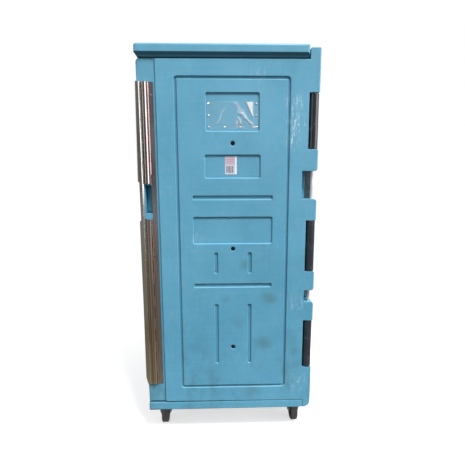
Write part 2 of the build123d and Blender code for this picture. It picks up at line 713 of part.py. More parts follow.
def card_pocket():
    """Return the clear pocket: a rim riveted on three sides and a raised window, open at the top."""
    width, height = POCKET_SIZE
    mid_z = up(CARD_SHARE) - POCKET_DROP
    floor = RELIEF_DEPTH
    low = mid_z - height / 2
    high = mid_z + height / 2
    x0 = PANEL_MID - width / 2
    x1 = PANEL_MID + width / 2
    pan = block(x0 + POCKET_RIM - POCKET_SHEET, x1 - POCKET_RIM + POCKET_SHEET, floor - POCKET_RAISE, floor,
                low + POCKET_RIM - POCKET_SHEET, high)
    pan -= block(x0 + POCKET_RIM, x1 - POCKET_RIM, floor - POCKET_RAISE + POCKET_SHEET, floor + 1,
                 low + POCKET_RIM, high + 1)
    flange = block(x0, x1, floor - POCKET_SHEET, floor, low, high)
    flange -= block(x0 + POCKET_RIM, x1 - POCKET_RIM, 0, floor + 1, low + POCKET_RIM, high + 1)
    pocket = pan + flange
    for x, z in rivet_places():
        pocket -= rod_y(x, z, 0, floor + 1, RIVET_SHANK_R)
    return pocket


def card_rivets():
    """Return the eight domed rivets of the card pocket."""
    rivets = []
    for x, z in rivet_places():
        head_back = RELIEF_DEPTH - POCKET_SHEET
        ball_r = (RIVET_R ** 2 + RIVET_HEAD ** 2) / (2 * RIVET_HEAD)
        ball = Pos(x, head_back - RIVET_HEAD + ball_r, z) * Sphere(ball_r)
        head = ball & rod_y(x, z, head_back - RIVET_HEAD - 1, head_back, RIVET_R)
        shank = rod_y(x, z, head_back, RELIEF_DEPTH + RIVET_SHANK - RIVET_CLEAR, RIVET_SHANK_R - RIVET_CLEAR)
        rivets.append(head + shank)
    return rivets


def label_sticker():
    """Return the small blank label on the floor of its recess."""
    width, height = STICKER_SIZE
    face = Pos(PANEL_MID - STICKER_LEFT, up(STICKER_SHARE) + STICKER_LIFT) * RectangleRounded(width, height, 1.5)
    return elevation(face, RELIEF_DEPTH - STICKER_THICK, RELIEF_DEPTH)


# ------------------------------------------------------------------ latch
def knuckle(z0, z1, bore_r):
    """Return one knuckle of the latch's long hinge."""
    tube = upright(LATCH_X, LATCH_Y, z0, z1, KNUCKLE_R)
    return tube - upright(LATCH_X, LATCH_Y, z0 - 1, z1 + 1, bore_r)


def knuckle_spans(first):
    """Return the height spans of every second knuckle, from the first or second one, clear of the window."""
    pitch = (LATCH_TOP - LATCH_BOTTOM) / KNUCKLE_COUNT
    gap = KNUCKLE_CLEAR / 2
    room = WINDOW_HEIGHT / 2 + WINDOW_HINGE_CLEAR
    spans = [
        (LATCH_BOTTOM + index * pitch + gap, LATCH_BOTTOM + (index + 1) * pitch - gap)
        for index in range(first, KNUCKLE_COUNT, 2)
    ]
    return [(z0, z1) for z0, z1 in spans if z1 < WINDOW_Z - room or z0 > WINDOW_Z + room]


def screw_places():
    """Return the (x, z) place of each screw of the fixed leaf."""
    x = LATCH_X + KNUCKLE_R + 0.55 * LEAF_WIDTH
    return [(x, LATCH_BOTTOM + share * (LATCH_TOP - LATCH_BOTTOM)) for share in LATCH_SCREW_SHARES]


def latch_leaf():
    """Return the fixed leaf: a narrow plate on the door with every second knuckle."""
    plate = block(
        LATCH_X + KNUCKLE_R + KNUCKLE_CLEAR,
        LATCH_X + KNUCKLE_R + LEAF_WIDTH,
        STRIP_STEP - SHEET,
        STRIP_STEP,
        LATCH_BOTTOM,
        LATCH_TOP,
    )
    for z0, z1 in knuckle_spans(0):
        bridge = block(LATCH_X, LATCH_X + KNUCKLE_R + 1, STRIP_STEP - SHEET, STRIP_STEP, z0, z1)
        bridge -= upright(LATCH_X, LATCH_Y, z0 - 1, z1 + 1, KNUCKLE_R - SHEET / 2)
        plate += knuckle(z0, z1, LATCH_PIN_R) + bridge
    for x, z in screw_places():
        plate -= rod_y(x, z, 0, STRIP_STEP + 1, LATCH_SCREW_R / 2)
    return plate


def latch_pins():
    """Return the two pins of the latch's hinge, above and below the window."""
    spans = knuckle_spans(0) + knuckle_spans(1)
    low_end = max(z1 for z0, z1 in spans if z1 < WINDOW_Z)
    high_end = min(z0 for z0, z1 in spans if z0 > WINDOW_Z)
    return [
        upright(LATCH_X, LATCH_Y, LATCH_BOTTOM, low_end, LATCH_PIN_R),
        upright(LATCH_X, LATCH_Y, high_end, LATCH_TOP, LATCH_PIN_R),
    ]


def latch_screws():
    """Return the pan-head screws of the fixed leaf."""
    screws = []
    for x, z in screw_places():
        head = rod_y(x, z, STRIP_STEP - SHEET - 1.6, STRIP_STEP - SHEET, LATCH_SCREW_R)
        head = fillet(head.edges().sort_by(Axis.Y)[:1], 1.0)
        screws.append(head + rod_y(x, z, STRIP_STEP - SHEET, STRIP_STEP, LATCH_SCREW_R / 2 - RIVET_CLEAR))
    return screws


def handle_face():
    """Return the folded sheet seen from above: two ridges, the side flange and its lip."""
    flat = LATCH_Y - KNUCKLE_R + SHEET / 2
    peak = -RIDGE_HEIGHT + SHEET / 2
    side = LATCH_OUTER + SHEET / 2
    lip_y = FRONT + STRIKE_SET_BACK + BEAD_WIDTH + HOOK_GAP
    span = LATCH_X - side
    path = FilletPolyline(
        (LATCH_X, flat),
        (LATCH_X - 0.13 * span, flat),
        (LATCH_X - 0.22 * span, 0.75 * peak),
        (LATCH_X - 0.37 * span, 0.75 * peak),
        (LATCH_X - 0.46 * span, flat),
        (LATCH_X - 0.57 * span, flat),
        (LATCH_X - 0.67 * span, peak),
        (side, peak),
        (side, lip_y),
        radius=2.2,
    )
    lip = Pos(side + HOOK_LIP / 2, lip_y) * Rectangle(HOOK_LIP, SHEET)
    outline = offset(path, amount=SHEET / 2, side=Side.BOTH)
    return make_face(outline) + lip


def latch_handle():
    """Return the full-height handle: the folded sheet with its finger window and knuckles."""
    face = handle_face()
    body = Pos(0, 0, LATCH_BOTTOM) * extrude(face, LATCH_TOP - LATCH_BOTTOM, dir=(0, 0, 1))
    open_side = WINDOW_RIGHT + 2 * WINDOW_CORNER_R
    window = Pos((WINDOW_LEFT + open_side) / 2, WINDOW_Z) * RectangleRounded(
        open_side - WINDOW_LEFT, WINDOW_HEIGHT, WINDOW_CORNER_R
    )
    body -= elevation(window, -3 * RIDGE_HEIGHT, STRIP_STEP)
    grip_half = WINDOW_HEIGHT / 2 + GRIP_STEP
    body -= block(LATCH_OUTER - 1, LATCH_OUTER + GRIP_STEP, -3 * RIDGE_HEIGHT, 3 * FRONT,
                  WINDOW_Z - grip_half, WINDOW_Z + grip_half)
    taper_x, taper_z = END_TAPER
    corner = [
        (LATCH_OUTER - 1, LATCH_BOTTOM - 1),
        (LATCH_OUTER + taper_x, LATCH_BOTTOM - 1),
        (LATCH_OUTER - 1, LATCH_BOTTOM + taper_z),
    ]
    body -= elevation(Polygon(*corner, align=None), -3 * RIDGE_HEIGHT, 3 * FRONT)
    for z0, z1 in knuckle_spans(0):
        body -= block(LATCH_X - KNUCKLE_R - 0.6, LATCH_X + 1, -3 * RIDGE_HEIGHT, STRIP_STEP,
                      z0 - KNUCKLE_CLEAR, z1 + KNUCKLE_CLEAR)
    bore_r = LATCH_PIN_R + LATCH_PIN_CLEAR
    for z0, z1 in knuckle_spans(1):
        body -= upright(LATCH_X, LATCH_Y, z0 - 1, z1 + 1, bore_r)
        body += knuckle(z0, z1, bore_r)
    return body


def strike(z0, z1):
    """Return one strike: a strip on the cabinet's side with a bead that the latch snaps over."""
    y0 = FRONT + STRIKE_SET_BACK
    strip = block(LEFT - STRIKE_SHEET, LEFT, y0, y0 + STRIKE_WIDTH, z0, z1)
    bead = block(LEFT - BEAD_OUT, LEFT, y0, y0 + BEAD_WIDTH, z0, z1)
    bead = fillet(bead.edges().filter_by(Axis.Z).group_by(Axis.X)[0], 2.5)
    return strip + bead


def strike_screws(z0, z1):
    """Return the screws of one strike, on its flat part."""
    y = FRONT + STRIKE_SET_BACK + BEAD_WIDTH + 0.7 * (STRIKE_WIDTH - BEAD_WIDTH)
    pitch = (z1 - z0 - 2 * STRIKE_WIDTH) / (STRIKE_SCREWS - 1)
    heads = []
    for index in range(STRIKE_SCREWS):
        z = z0 + STRIKE_WIDTH + index * pitch
        heads.append(rod_x(y, z, LEFT - STRIKE_SHEET - 1.4, LEFT - STRIKE_SHEET, LATCH_SCREW_R))
    return heads


# ------------------------------------------------------------------ tray rack
def rack_post_ys():
    """Return the depth of each rack post."""
    return (FRONT + RACK_END_INSET, CABIN_BACK - RACK_END_INSET)


def stud_heights():
    """Return the heights of the studs that each rack post hangs on."""
    return (CABIN_FLOOR + STUD_END_INSET, CABIN_TOP - STUD_END_INSET)


def tray_posts(side):
    """Return the two channel posts on one side of the cabin."""
    posts = []
    width, depth = POST_CHANNEL
    low = CABIN_FLOOR + RACK_FLOOR_GAP
    high = CABIN_TOP - RACK_FLOOR_GAP
    for y in rack_post_ys():
        post = block(RACK_X, RACK_X + depth, y - width / 2, y + width / 2, low, high)
        post -= block(RACK_X + CHANNEL_SHEET, RACK_X + depth + 1, y - width / 2 + CHANNEL_SHEET,
                      y + width / 2 - CHANNEL_SHEET, low - 1, high + 1)
        for z in stud_heights():
            post -= rod_x(y, z, RACK_X - 1, RACK_X + depth, STUD_R + RIVET_CLEAR)
        posts.append(post if side > 0 else mirror(post, Plane.YZ))
    return posts


def tray_runners(side):
    """Return the tray runners on one side: folded angles with the ledge on top."""
    runners = []
    y0, y1 = rack_post_ys()
    half = POST_CHANNEL[0] / 2 + 2 * CHANNEL_SHEET
    first = CABIN_FLOOR + FIRST_LEVEL
    pitch = (CABIN_TOP - LAST_LEVEL_BELOW_TOP - first) / (RACK_LEVELS - 1)
    for level in range(RACK_LEVELS):
        z = first + level * pitch
        ledge = block(RACK_X - RUNNER_WIDTH, RACK_X, y0 - half, y1 + half, z - CHANNEL_SHEET, z)
        leg = block(RACK_X - CHANNEL_SHEET, RACK_X, y0 - half, y1 + half, z - RUNNER_DROP, z)
        runner = ledge + leg
        runners.append(runner if side > 0 else mirror(runner, Plane.YZ))
    return runners


def rack_studs():
    """Return the headed studs on the cabin walls that carry the rack posts."""
    studs = []
    for y in rack_post_ys():
        for z in stud_heights():
            neck = rod_x(y, z, RACK_X, CABIN_HALF, STUD_R)
            stud = neck + rod_x(y, z, RACK_X - STUD_HEAD, RACK_X, STUD_HEAD_R)
            studs += [stud, mirror(stud, Plane.YZ)]
    return studs


# ------------------------------------------------------------------ casters
def caster_places():
    """Return each caster's name, swivel axis (x, y) and resting turn in degrees."""
    x = WIDTH / 2 - PLATE_SIDE_INSET
    return [
        ("front_left", -x, PLATE_END_INSET, FRONT_LEFT_SWIVEL),
        ("front_right", x, PLATE_END_INSET, 0.0),
        ("rear_left", -x, BACK - PLATE_END_INSET, 180.0),
        ("rear_right", x, BACK - PLATE_END_INSET, 180.0),
    ]


def caster_bolt_places(x, y):
    """Return the (x, y) place of each bolt of one caster plate."""
    dx = PLATE_SIZE[0] / 2 - CASTER_BOLT_INSET
    dy = PLATE_SIZE[1] / 2 - CASTER_BOLT_INSET
    return [(x + i * dx, y + j * dy) for i in (-1, 1) for j in (-1, 1)]


def caster_plate(x, y):
    """Return one fixed top plate with the upper race housing under it."""
    low = BASE - PLATE_THICK
    plate = Pos(x, y, low) * extrude(RectangleRounded(*PLATE_SIZE, 8), PLATE_THICK)
    plate += upright(x, y, low - HOUSING_HEIGHT, low, HOUSING_R)
    plate -= upright(x, y, low - 2 * HOUSING_HEIGHT, BASE + 1, KINGPIN_R + RUNNING_CLEAR)
    plate -= upright(x, y, BASE - PLATE_THICK / 2, BASE + 1, 2 * KINGPIN_R)
    for bx, by in caster_bolt_places(x, y):
        plate -= upright(bx, by, low - 1, BASE + 1, CASTER_BOLT_R)
    return plate


def caster_bolts(x, y):
    """Return the four bolts of one caster plate."""
    bolts = []
    low = BASE - PLATE_THICK
    for bx, by in caster_bolt_places(x, y):
        head = Pos(bx, by, low - CASTER_HEAD_HEIGHT) * extrude(RegularPolygon(CASTER_HEAD_R, 6), CASTER_HEAD_HEIGHT)
        bolts.append(head + upright(bx, by, low, BASE, CASTER_BOLT_R))
    return bolts


def crown_top():
    """Return the height of the top of the fork's crown."""
    return BASE - PLATE_THICK - HOUSING_HEIGHT - SWIVEL_CLEAR


def caster_fork():
    """Return one fork, drawn with its swivel axis on Z and the wheel trailing towards +Y."""
    top = crown_top()
    inner = TYRE_WIDTH / 2 + LEG_CLEAR
    outer = inner + LEG_THICK
    crown = upright(0, 0, top - CROWN_THICK, top, HOUSING_R)
    half = HOUSING_R * 0.8
    leg = Polygon(
        (-half, top),
        (half, top),
        (TRAIL + 0.7 * half, WHEEL_R),
        (TRAIL + 0.35 * half, WHEEL_R - 12),
        (TRAIL - 0.35 * half, WHEEL_R - 12),
        (TRAIL - 0.7 * half, WHEEL_R),
        align=None,
    )
    leg = fillet(leg.vertices().filter_by(lambda v: v.Y < top - 1), 6)
    for side in (-1, 1):
        start = min(side * inner, side * outer)
        crown += Pos(start, 0, 0) * extrude(Plane.YZ * leg, LEG_THICK, dir=(1, 0, 0))
    crown -= upright(0, 0, top - 2 * CROWN_THICK, top + 1, KINGPIN_R)
    crown -= Pos(0, TRAIL, WHEEL_R) * Rot(0, 90, 0) * Cylinder(AXLE_R, 4 * outer)
    return crown


def caster_kingpin():
    """Return one kingpin: its shank through crown and plate, and its two heads."""
    top = crown_top()
    shank = upright(0, 0, top - CROWN_THICK, BASE - PLATE_THICK / 2 + 0.2, KINGPIN_R)
    nut = Pos(0, 0, top - CROWN_THICK - 4) * extrude(RegularPolygon(1.7 * KINGPIN_R, 6), 4)
    head = upright(0, 0, BASE - PLATE_THICK / 2 + 0.2, BASE - 0.3, 1.6 * KINGPIN_R)
    return shank + nut + head


def caster_axle():
    """Return one wheel axle: a bolt through both legs with a head and a nut."""
    outer = TYRE_WIDTH / 2 + LEG_CLEAR + LEG_THICK
    shank = Pos(0, TRAIL, WHEEL_R) * Rot(0, 90, 0) * Cylinder(AXLE_R, 2 * outer)
    ends = []
    for side in (-1, 1):
        end = Pos(side * outer, TRAIL, WHEEL_R) * Rot(0, 90, 0)
        ends.append(end * extrude(RegularPolygon(1.7 * AXLE_R, 6), side * 5.0))
    return shank + ends[0] + ends[1]


def caster_wheel():
    """Return one wheel: a hub, a web and a rim under the tyre."""
    hub_length = TYRE_WIDTH + 2 * LEG_CLEAR - 1
    rim_r = WHEEL_R - TYRE_THICK
    wheel = Cylinder(rim_r, TYRE_WIDTH - 4) - Cylinder(rim_r - 5, TYRE_WIDTH)
    wheel += Cylinder(rim_r - 2, 8)
    wheel += Cylinder(2.4 * AXLE_R, hub_length)
    wheel -= Cylinder(AXLE_R + RUNNING_CLEAR, 2 * hub_length)
    return Pos(0, TRAIL, WHEEL_R) * Rot(0, 90, 0) * wheel


def caster_tyre():
    """Return one tyre, rounded over its tread."""
    tyre = Cylinder(WHEEL_R, TYRE_WIDTH)
    tyre = fillet(tyre.edges().filter_by(GeomType.CIRCLE), 6)
    tyre -= Cylinder(WHEEL_R - TYRE_THICK, 2 * TYRE_WIDTH)
    return Pos(0, TRAIL, WHEEL_R) * Rot(0, 90, 0) * tyre


def write_cabinet():
    """Write the cabinet and everything fixed to it."""
    save("cabinet_shell", cabinet_shell())
    save("cabinet_foam", cabinet_foam())
    save("hinge_post", hinge_post())
    bolts = []
    for name, share in zip(("bottom", "middle", "top"), BARREL_SHARES):
        save("hinge_bracket_" + name, hinge_bracket(up(share)))
        save("hinge_barrel_" + name, hinge_barrel(up(share)))
        bolts += bracket_bolts(up(share))
    save("bracket_bolts", *bolts)
    grip = WINDOW_HEIGHT / 2 + STRIKE_CLEAR_OF_GRIP
    lower = (LATCH_BOTTOM + STRIKE_END_INSET, WINDOW_Z - grip)
    upper = (WINDOW_Z + grip, LATCH_TOP - STRIKE_END_INSET)
    save("latch_strike_lower", strike(*lower))
    save("latch_strike_upper", strike(*upper))
    save("strike_screws", *strike_screws(*lower), *strike_screws(*upper))
    for name, side in (("left", -1), ("right", 1)):
        save("tray_posts_" + name, *tray_posts(side))
        save("tray_runners_" + name, *tray_runners(side))
    save("rack_studs", *rack_studs())


def write_door():
    """Write the door, what is fixed to it, and the latch."""
    save("door_shell", door_shell())
    save("door_foam", door_foam())
    save("door_gasket", door_gasket())
    save("hinge_pin", upright(AXIS_X, AXIS_Y, DOOR_BOTTOM + PIN_SET_IN, DOOR_TOP - PIN_SET_IN, PIN_R))
    save("card_pocket", card_pocket())
    save("card_rivets", *card_rivets())
    save("label_sticker", label_sticker())
    plugs = [rod_y(PANEL_MID, up(s), HOLE_DEPTH - HOLE_PLUG_THICK, HOLE_DEPTH, HOLE_R) for s in HOLE_SHARES]
    save("foam_plugs", *plugs)
    save("latch_leaf", latch_leaf())
    save("latch_screws", *latch_screws())
    save("latch_pin", *latch_pins())
    save("latch_handle", latch_handle())


def write_casters():
    """Write the four casters."""
    bolts = []
    makers = {
        "fork": caster_fork,
        "kingpin": caster_kingpin,
        "axle": caster_axle,
        "wheel": caster_wheel,
        "tyre": caster_tyre,
    }
    for name, x, y, turn in caster_places():
        save("caster_plate_" + name, caster_plate(x, y))
        bolts += caster_bolts(x, y)
        for piece, maker in makers.items():
            save("caster_" + piece + "_" + name, Pos(x, y, 0) * Rot(0, 0, turn) * maker())
    save("caster_bolts", *bolts)


os.makedirs("parts", exist_ok=True)
write_cabinet()
write_door()
write_casters()
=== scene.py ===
"""Insulated food carrier: the finished look of a tall foam-filled roll cabinet.

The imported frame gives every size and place. Each piece is made in metres in the frame's own axes:
+Z is up, the door faces -Y and its hinge is at +X.
"""

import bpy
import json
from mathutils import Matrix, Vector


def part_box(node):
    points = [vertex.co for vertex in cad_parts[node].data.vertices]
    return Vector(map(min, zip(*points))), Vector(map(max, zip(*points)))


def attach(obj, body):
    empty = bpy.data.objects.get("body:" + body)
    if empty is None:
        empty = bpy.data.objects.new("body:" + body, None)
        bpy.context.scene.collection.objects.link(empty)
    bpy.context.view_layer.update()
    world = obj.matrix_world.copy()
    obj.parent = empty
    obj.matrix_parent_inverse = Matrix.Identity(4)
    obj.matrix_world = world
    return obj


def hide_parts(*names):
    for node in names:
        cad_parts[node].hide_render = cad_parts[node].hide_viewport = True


bl_info = {
    "name": "Insulated Food Carrier",
    "version": (1, 0, 0),
    "blender": (4, 5, 0),
    "location": "View3D > Sidebar > Carrier",
    "description": "Finishes the skins, the latch, the hinges and the casters of a roll cabinet",
    "category": "Object",
}

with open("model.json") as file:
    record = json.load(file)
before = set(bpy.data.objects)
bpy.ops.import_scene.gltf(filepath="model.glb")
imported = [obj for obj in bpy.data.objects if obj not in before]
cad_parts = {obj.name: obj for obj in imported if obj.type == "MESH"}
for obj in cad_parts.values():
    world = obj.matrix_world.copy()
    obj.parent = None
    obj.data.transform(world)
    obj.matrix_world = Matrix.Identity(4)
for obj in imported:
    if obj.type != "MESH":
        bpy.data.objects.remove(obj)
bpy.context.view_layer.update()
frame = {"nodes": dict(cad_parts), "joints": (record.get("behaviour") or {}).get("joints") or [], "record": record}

import json
import math

import bmesh
import bpy
import numpy as np
from bpy.props import FloatProperty, FloatVectorProperty, PointerProperty
from mathutils import Matrix, Vector

NODES = frame["nodes"]
JOINTS = {joint["name"]: joint for joint in frame["joints"]}
DOOR_LOW, DOOR_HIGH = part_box("door_shell")
PANEL_MID = (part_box("foam_plugs")[0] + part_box("foam_plugs")[1]) / 2
FACE_Y = DOOR_LOW.y
CASTERS = ("front_left", "front_right", "rear_left", "rear_right")
HINGES = ("bottom", "middle", "top")

# Mesh work: points nearer than MERGE are one, and faces within FLAT_ANGLE are in one plane.
MERGE = 1e-5
FLAT_ANGLE = math.radians(1.0)
ROUNDED_ANGLE = math.radians(35)
# An edge across the front is a long one if it is longer than LONG_EDGE, its corner is sharper
# than SHARP_CORNER and it lies at most FRONT_DEPTH behind the door's face.
LONG_EDGE = 0.40
SHARP_CORNER = math.radians(70)
FRONT_DEPTH = 0.012

GASKET_WIDTH = 0.0115
GASKET_CORNER = 0.020
TYRE_HALF_WIDTH = 0.016
TYRE_THICK = 0.009
TYRE_SHOULDER = 0.0062
TYRE_CROWN = 0.0004
TYRE_SIDE_STEP = 0.0012
FILM_THICK = 0.0004
FILM_GRID = (106, 56)
FILM_FLAT_EDGE = 0.014
FILM_SLOPE = 0.006
# Creases of the film with their painted glare lines, in shares of it: where it starts, its lean, its width, foot,
# head, strength.
FILM_CREASES_AND_GLARE = (
    (0.98, -0.42, 0.050, 0.02, 0.62, 0.60),
    (0.80, -0.30, 0.035, 0.02, 0.46, 0.45),
    (0.66, -0.06, 0.045, 0.04, 0.34, 0.40),
    (0.20, 0.28, 0.035, 0.20, 0.75, 0.22),
    (0.90, -0.30, 0.120, 0.55, 0.98, 0.20),
)
# The latch sheet's outer edge: how far it is knocked in, in millimetres, at shares of its height.
KNOCK_HEIGHTS = (0.0, 0.08, 0.30, 0.50, 0.60, 0.63, 0.69, 0.72, 0.80, 0.93, 1.0)
KNOCK_DEPTHS = (0.5, 0.8, 1.8, 1.4, 1.5, 0.6, 0.3, 0.2, 1.6, 3.4, 5.0)
KNOCK_FADE = 0.020
KNOCK_CUTS = 62
WAVE_FADES = (0.008, 0.012)
# Rubbed spots on the door's face: across from the middle of its panel, height, radius, strength.
SMUDGES = (
    (0.130, 0.440, 0.055, 0.42),
    (0.155, 0.640, 0.050, 0.45),
    (0.050, 0.795, 0.040, 0.38),
    (0.085, 0.215, 0.060, 0.36),
    (-0.030, 0.640, 0.030, 0.25),
    (0.020, 0.540, 0.050, 0.25),
    (-0.170, 0.420, 0.045, 0.22),
    (0.270, 0.400, 0.040, 0.35),
)
SCUFFS = (
    (0.245, 1.455, 0.050, 0.8),
    (0.250, 1.375, 0.060, 1.0),
    (0.245, 1.305, 0.050, 0.9),
    (0.100, 1.560, 0.050, 0.35),
    (0.275, 0.620, 0.050, 0.5),
    (0.290, 0.250, 0.060, 0.5),
    (-0.150, 0.900, 0.060, 0.2),
)
# Depths behind the door's face: the finger recess that is painted lighter, and the shallow relief of the panel.
RECESS_LIGHT_DEPTHS = (0.008, 0.038)
RELIEF_DEPTH = 0.005
CARD_MARGIN = 0.004

MOTTLED = (0.27, 0.50, 0.60)
BRUSHED = (0.24, 0.47, 0.58)
SCRATCHED = (0.66, 0.84, 0.90)
SOOT = (0.07, 0.055, 0.05)
DUST = (0.30, 0.30, 0.29)
GREY_SCRATCH = (0.45, 0.45, 0.45)
FOAM_SKIN, FOAM_PORE = (0.78, 0.68, 0.42), (0.62, 0.50, 0.26)
LABEL_LOW, LABEL_HIGH = (0.66, 0.70, 0.80), (0.66, 0.53, 0.62)
LABEL_PAINTED_SHEEN, LABEL_INK = (0.92, 0.95, 1.0), (0.10, 0.07, 0.09)

FLOOR_REACH = 30.0
FLOOR_NEAR, FLOOR_FAR = 0.38, 1.15
KEY_DIRECTION = Vector((0.30, -0.40, 0.866))
KEY_DISTANCE = 5.0
CAMERA_ROLL = math.radians(-0.16)
SENSOR_WIDTH = 36.0
CAMERA_REACH = 100.0


# ---------- settings
class ShellSettings(bpy.types.PropertyGroup):
    """Colours, painted shade and light, and edges of the moulded skins."""

    colour: FloatVectorProperty(
        name="Colour", description="Moulded plastic",
        subtype="COLOR", default=(0.086, 0.325, 0.485))
    # Laid in random faded patches, and as painted light more towards the top.
    faded: FloatVectorProperty(
        name="Faded", description="Sun-faded plastic",
        subtype="COLOR", default=(0.138, 0.425, 0.610))
    grime: FloatVectorProperty(
        name="Grime", description="Rubbed-in dirt", subtype="COLOR", default=(0.075, 0.165, 0.185))
    # Painted shade with some dust: this colour darkens grooves and corners by how shut in they are.
    shadowed: FloatVectorProperty(
        name="Grooves", description="Dust settled in grooves and corners",
        subtype="COLOR", default=(0.03, 0.12, 0.17))
    # Painted shade: this colour darkens gaps between pieces and faces that look down.
    gap: FloatVectorProperty(
        name="Undersides", description="Dirt in gaps and on faces that look down",
        subtype="COLOR", default=(0.004, 0.075, 0.115))
    # Painted light: a lighter colour laid in the deep finger recess, where shade falls.
    recess: FloatVectorProperty(
        name="Finger Recess", description="Plastic rubbed by hands behind the latch",
        subtype="COLOR", default=(0.22, 0.72, 0.74))
    long_edge: FloatProperty(
        name="Long Edge", description="Radius of the long edges across the front",
        unit="LENGTH", default=0.0035)
    cabinet_edge: FloatProperty(
        name="Cabinet Edge", description="Radius of the cabinet's edges",
        unit="LENGTH", default=0.005)
    door_edge: FloatProperty(
        name="Door Edge", description="Radius of the relief and the door's edges",
        unit="LENGTH", default=0.0028)


class LatchSettings(bpy.types.PropertyGroup):
    """The long folded handle and its painted reflections."""

    steel: FloatVectorProperty(
        name="Steel", description="Clean stainless sheet",
        subtype="COLOR", default=(0.60, 0.58, 0.57))
    # Partly stains, partly painted darker reflection of the lower sheet.
    stain: FloatVectorProperty(
        name="Stain", description="Old stains on the sheet",
        subtype="COLOR", default=(0.36, 0.27, 0.12))
    # Painted reflection: a pink tint across the sheet's hinge side.
    pink_reflection: FloatVectorProperty(
        name="Rosy", description="Heat-tinted sheet beside the hinge",
        subtype="COLOR", default=(0.56, 0.45, 0.47))
    # Painted reflection: the same pink, darker below the window.
    pink_reflection_below: FloatVectorProperty(
        name="Rosy Below", description="The same sheet below the window",
        subtype="COLOR", default=(0.42, 0.34, 0.35))
    # Painted reflection: a dark stripe along the valley of the fold.
    valley: FloatVectorProperty(
        name="Valley", description="Dirt along the valley of the fold",
        subtype="COLOR", default=(0.10, 0.14, 0.12))
    # Painted reflection: a dark rust-brown stripe along the crest of the small ridge.
    crest: FloatVectorProperty(
        name="Crest", description="Rust-brown crest of the small ridge",
        subtype="COLOR", default=(0.22, 0.10, 0.08))
    dent: FloatProperty(
        name="Dent", description="How far the sheet waves along its length",
        unit="LENGTH", default=0.0006)


class HardwareSettings(bpy.types.PropertyGroup):
    """Barrels, post, pin, rack and small fittings."""

    barrel: FloatVectorProperty(
        name="Barrel", description="Black hinge barrels",
        subtype="COLOR", default=(0.018, 0.024, 0.036))
    steel: FloatVectorProperty(
        name="Steel", description="Plain stainless steel",
        subtype="COLOR", default=(0.55, 0.55, 0.54))
    film: FloatVectorProperty(
        name="Film", description="Clear card pocket", subtype="COLOR", default=(0.90, 0.96, 1.0))
    film_wave: FloatProperty(
        name="Film Wave", description="How far the clear film buckles",
        unit="LENGTH", default=0.0007)


class CasterSettings(bpy.types.PropertyGroup):
    """The four casters."""

    tyre: FloatVectorProperty(
        name="Tyre", description="Worn brown-grey rubber",
        subtype="COLOR", default=(0.085, 0.075, 0.068))
    hub: FloatVectorProperty(
        name="Hub", description="Grey moulded hub", subtype="COLOR", default=(0.20, 0.20, 0.21))
    plate: FloatVectorProperty(
        name="Plate", description="Black painted plate",
        subtype="COLOR", default=(0.02, 0.02, 0.022))


class StageSettings(bpy.types.PropertyGroup):
    """Floor, lights and camera."""

    floor: FloatVectorProperty(
        name="Floor", description="Pale floor", subtype="COLOR", default=(0.80, 0.80, 0.80))
    bounce: FloatVectorProperty(
        name="Floor Bounce", description="What the floor gives back to the carrier",
        subtype="COLOR", default=(0.15, 0.15, 0.15))
    floor_glow: FloatProperty(
        name="Floor Glow", description="Lightens the floor near the casters", default=0.62)
    floor_mirrored: FloatProperty(
        name="Floor in Reflections", description="How bright the floor is in polished steel",
        default=0.24)
    key: FloatProperty(name="Key Light", description="Strength of the high light", default=4.3)
    key_softness: FloatProperty(
        name="Key Softness", description="Width of the high light",
        subtype="ANGLE", default=math.radians(14.0))
    sky: FloatProperty(
        name="Sky", description="Strength of the surroundings overhead", default=0.47)
    left_panel: FloatProperty(
        name="Left Panel", description="Brightness of the left panel beside the sky's", default=3.2)
    right_panel: FloatProperty(
        name="Right Panel", description="Brightness of the right panel beside the sky's",
        default=7.5)
    distance: FloatProperty(
        name="Distance", description="From the door's face to the camera",
        unit="LENGTH", default=1.4225)
    height: FloatProperty(
        name="Height", description="Camera above the floor", unit="LENGTH", default=1.150)
    aside: FloatProperty(
        name="Aside", description="Camera's place to the left of the door's middle",
        unit="LENGTH", default=0.0234)
    tilt: FloatProperty(
        name="Tilt", description="Camera's tilt down", subtype="ANGLE", default=math.radians(8.70))
    turn: FloatProperty(
        name="Turn", description="Camera's turn to the right",
        subtype="ANGLE", default=math.radians(1.45))
    lens: FloatProperty(name="Lens", description="Focal length on a 36 mm sensor", default=26.71)


# ---------- meshes
def grid_quads(rows, cols, wrapped):
    """Quads between neighbours on a grid; a wrapped one joins its last lines to its first."""
    index = np.arange(rows * cols).reshape(rows, cols)
    last = 0 if wrapped else 1
    u, v = np.meshgrid(np.arange(rows - last), np.arange(cols - last), indexing="ij")
    next_u, next_v = (u + 1) % rows, (v + 1) % cols
    corners = (index[u, v], index[next_u, v], index[next_u, next_v], index[u, next_v])
    return np.stack(corners, -1).reshape(-1, 4)


def turned(profile, centre, axis, count):
    """A lathe surface: each (radius, height) point of a closed profile circles round the axis."""
    profile = np.asarray(profile, float)
    axis = np.asarray(Vector(axis).normalized())
    side = np.asarray(Vector(axis).orthogonal().normalized())
    across = np.cross(axis, side)
    angle = np.linspace(0, 2 * math.pi, count, endpoint=False)
    ring = np.cos(angle)[:, None] * side + np.sin(angle)[:, None] * across
    points = profile[:, 0, None, None] * ring[None] + profile[:, 1, None, None] * axis[None, None]
    points = points + np.asarray(centre)
    return points.reshape(-1, 3), grid_quads(len(profile), count, True)


def put_in_scene(name, data):
    """Make the object of its data and link it to the scene."""
    made = bpy.data.objects.new(name, data)
    bpy.context.scene.collection.objects.link(made)
    return made


def hang(name, mesh, material, body, stands_for, sharp):
    """Make the object of a finished mesh, hang it on its body and hide the nodes it stands for."""
    mesh.shade_smooth()
    mesh.set_sharp_from_angle(angle=math.radians(sharp))
    mesh.materials.clear()
    mesh.materials.append(material)
    piece = put_in_scene(name, mesh)
    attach(piece, body)
    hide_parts(*stands_for)
    return piece


